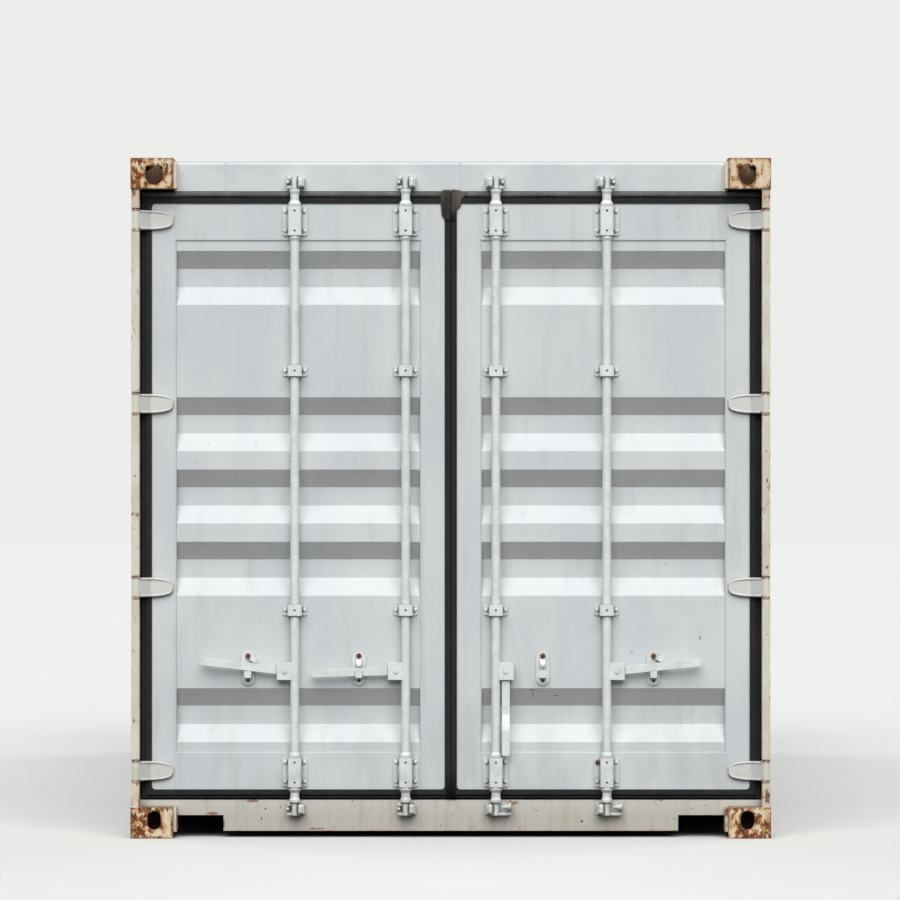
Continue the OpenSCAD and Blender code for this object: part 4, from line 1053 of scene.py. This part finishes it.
class CONTAINER_OT_seals(bpy.types.Operator):
    """Finishes the door seals"""

    bl_idname = "container.seals"
    bl_label = "Door seals"

    def execute(self, context):
        colours = context.scene.container_colours
        rubber = seal_rubber("seal_rubber", colours.seal, colours.seal_film)
        # The upper lip is paler rubber than the rest of the seal
        pale_lip = seal_rubber("pale_lip_rubber", colours.lip, colours.lip_film)
        paint(rubber, "left_door_gasket", "right_door_gasket")
        creased = seal_rubber("creased_rubber", colours.crease, colours.crease_film)
        strip = strip_steel()
        for sign, side in SIDES:
            self.top_lip(sign, side, pale_lip)
            self.centre_strip(sign, side, rubber)
            self.corner_flap(sign, side, creased)
            self.strips(side, strip)
        return {"FINISHED"}

    def top_lip(self, sign, side, material):
        """The pale upper lip of the seal, pressed up against the header."""
        header_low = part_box("door_header")[0].z
        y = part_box(side + "_door_gasket")[0].y + 0.003
        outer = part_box(side + "_door_gasket")[1 if sign > 0 else 0].x
        low_edge, high_edge = header_low - 0.0215, header_low - 0.003
        rows = []
        for x in spaced(sign * 0.03, outer, 0.12):
            wave = 0.0012 * math.sin(37 * x)
            rows.append(((x, y, low_edge + wave), (x, y, high_edge)))
        build = bmesh.new()
        ribbon(build, rows, 0.003, 0.004)
        keep(side + "_top_lip", build, material, side + "_door")

    def centre_strip(self, sign, side, material):
        """The flat lip that nearly closes the joint between the leaves."""
        low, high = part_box(side + "_door_gasket")
        y = low.y - 0.0006
        rows = [((sign * JOINT_GAP, y, z), (sign * 0.0185, y, z)) for z in spaced(low.z, high.z, 0.1)]
        build = bmesh.new()
        ribbon(build, rows, 0.003, 0.0006)
        keep(side + "_centre_strip", build, material, side + "_door")

    def corner_flap(self, sign, side, material):
        """The seal's folded corner, spread over the header where the two leaves meet."""
        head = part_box("door_header")[0].z
        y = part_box(side + "_door_frame")[0].y - 0.006
        outline = FLAP_LEFT if sign < 0 else FLAP_RIGHT
        rows = []
        for reach, drop in outline:
            rows.append(((sign * JOINT_GAP, y, head + drop), (sign * reach, y, head + drop)))
        build = bmesh.new()
        ribbon(build, rows, 0.003, 0.003, 8)
        keep(side + "_corner_flap", build, material, side + "_door")

    def strips(self, side, material):
        """Strip and rivets that hold the seal on the leaf's back."""
        low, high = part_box(side + "_door_frame")
        inset, width, thick = 0.016, 0.012, 0.002
        y = high.y
        build = bmesh.new()
        for z in (low.z + inset, high.z - inset):
            rows = [((x, y, z - width), (x, y, z + width)) for x in (low.x + 0.03, high.x - 0.03)]
            ribbon(build, rows, thick, 0, 1)
        for x in (low.x + inset, high.x - inset):
            rows = [((x - width, y, z), (x + width, y, z)) for z in (low.z + 0.03, high.z - 0.03)]
            ribbon(build, rows, thick, 0, 1)
        keep(side + "_seal_strips", build, material, side + "_door")
        heads = []
        for z in (low.z + inset, high.z - inset):
            heads += [((x, y + thick, z), (0, 0, 0)) for x in spaced(low.x + 0.05, high.x - 0.05, 0.15)]
        for x in (low.x + inset, high.x - inset):
            heads += [((x, y + thick, z), (0, 0, 0)) for z in spaced(low.z + 0.12, high.z - 0.12, 0.15)]
        repeat_on_points(
            side + "_strip_rivets", heads, pebble("head", 0.005, 0.0018, 0.005, 12, 7), material,
            side + "_door",
        )


class CONTAINER_OT_base(bpy.types.Operator):
    """Finishes the underframe and floor"""

    bl_idname = "container.base"
    bl_label = "Base and floor"

    def execute(self, context):
        paint(underframe_coat(context.scene.container_colours), "cross_members", "fork_pockets")
        paint(floor_plywood(), "floor_boards")
        self.screws()
        return {"FINISHED"}

    def screws(self):
        """Rows of screw heads that fix the boards to the cross members."""
        low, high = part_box("floor_boards")
        heads = []
        for y in spaced(low.y + 0.15, high.y - 0.15, 0.3):
            row = spaced(low.x + 0.06, high.x - 0.06, 0.18)
            heads += [((x, y, high.z), (math.pi / 2, 0, 0)) for x in row]
        repeat_on_points(
            "floor_screws", heads, pebble("head", 0.007, 0.0008, 0.007, 10, 5), strip_steel(), "container",
        )


OPERATORS = (
    CONTAINER_OT_stage,
    CONTAINER_OT_walls,
    CONTAINER_OT_end_frame,
    CONTAINER_OT_gear,
    CONTAINER_OT_seals,
    CONTAINER_OT_base,
)


class CONTAINER_PT_panel(bpy.types.Panel):
    """Lists the steps that dress the container"""

    bl_idname = "CONTAINER_PT_panel"
    bl_label = "Container"
    bl_space_type = "VIEW_3D"
    bl_region_type = "UI"
    bl_category = "Container"

    def draw(self, context):
        for step in OPERATORS:
            self.layout.operator(step.bl_idname)


CLASSES = (ContainerColours, ContainerSizes, *OPERATORS, CONTAINER_PT_panel)


def register():
    """Registers the settings, operators and panel."""
    for item in CLASSES:
        bpy.utils.register_class(item)
    bpy.types.Scene.container_colours = bpy.props.PointerProperty(type=ContainerColours)
    bpy.types.Scene.container_sizes = bpy.props.PointerProperty(type=ContainerSizes)


def unregister():
    """Takes them away again."""
    del bpy.types.Scene.container_sizes
    del bpy.types.Scene.container_colours
    for item in reversed(CLASSES):
        bpy.utils.unregister_class(item)


def main():
    """Dresses the container step by step."""
    register()
    for step in OPERATORS:
        group, name = step.bl_idname.split(".")
        getattr(getattr(bpy.ops, group), name)()


if __name__ == "__main__":
    main()
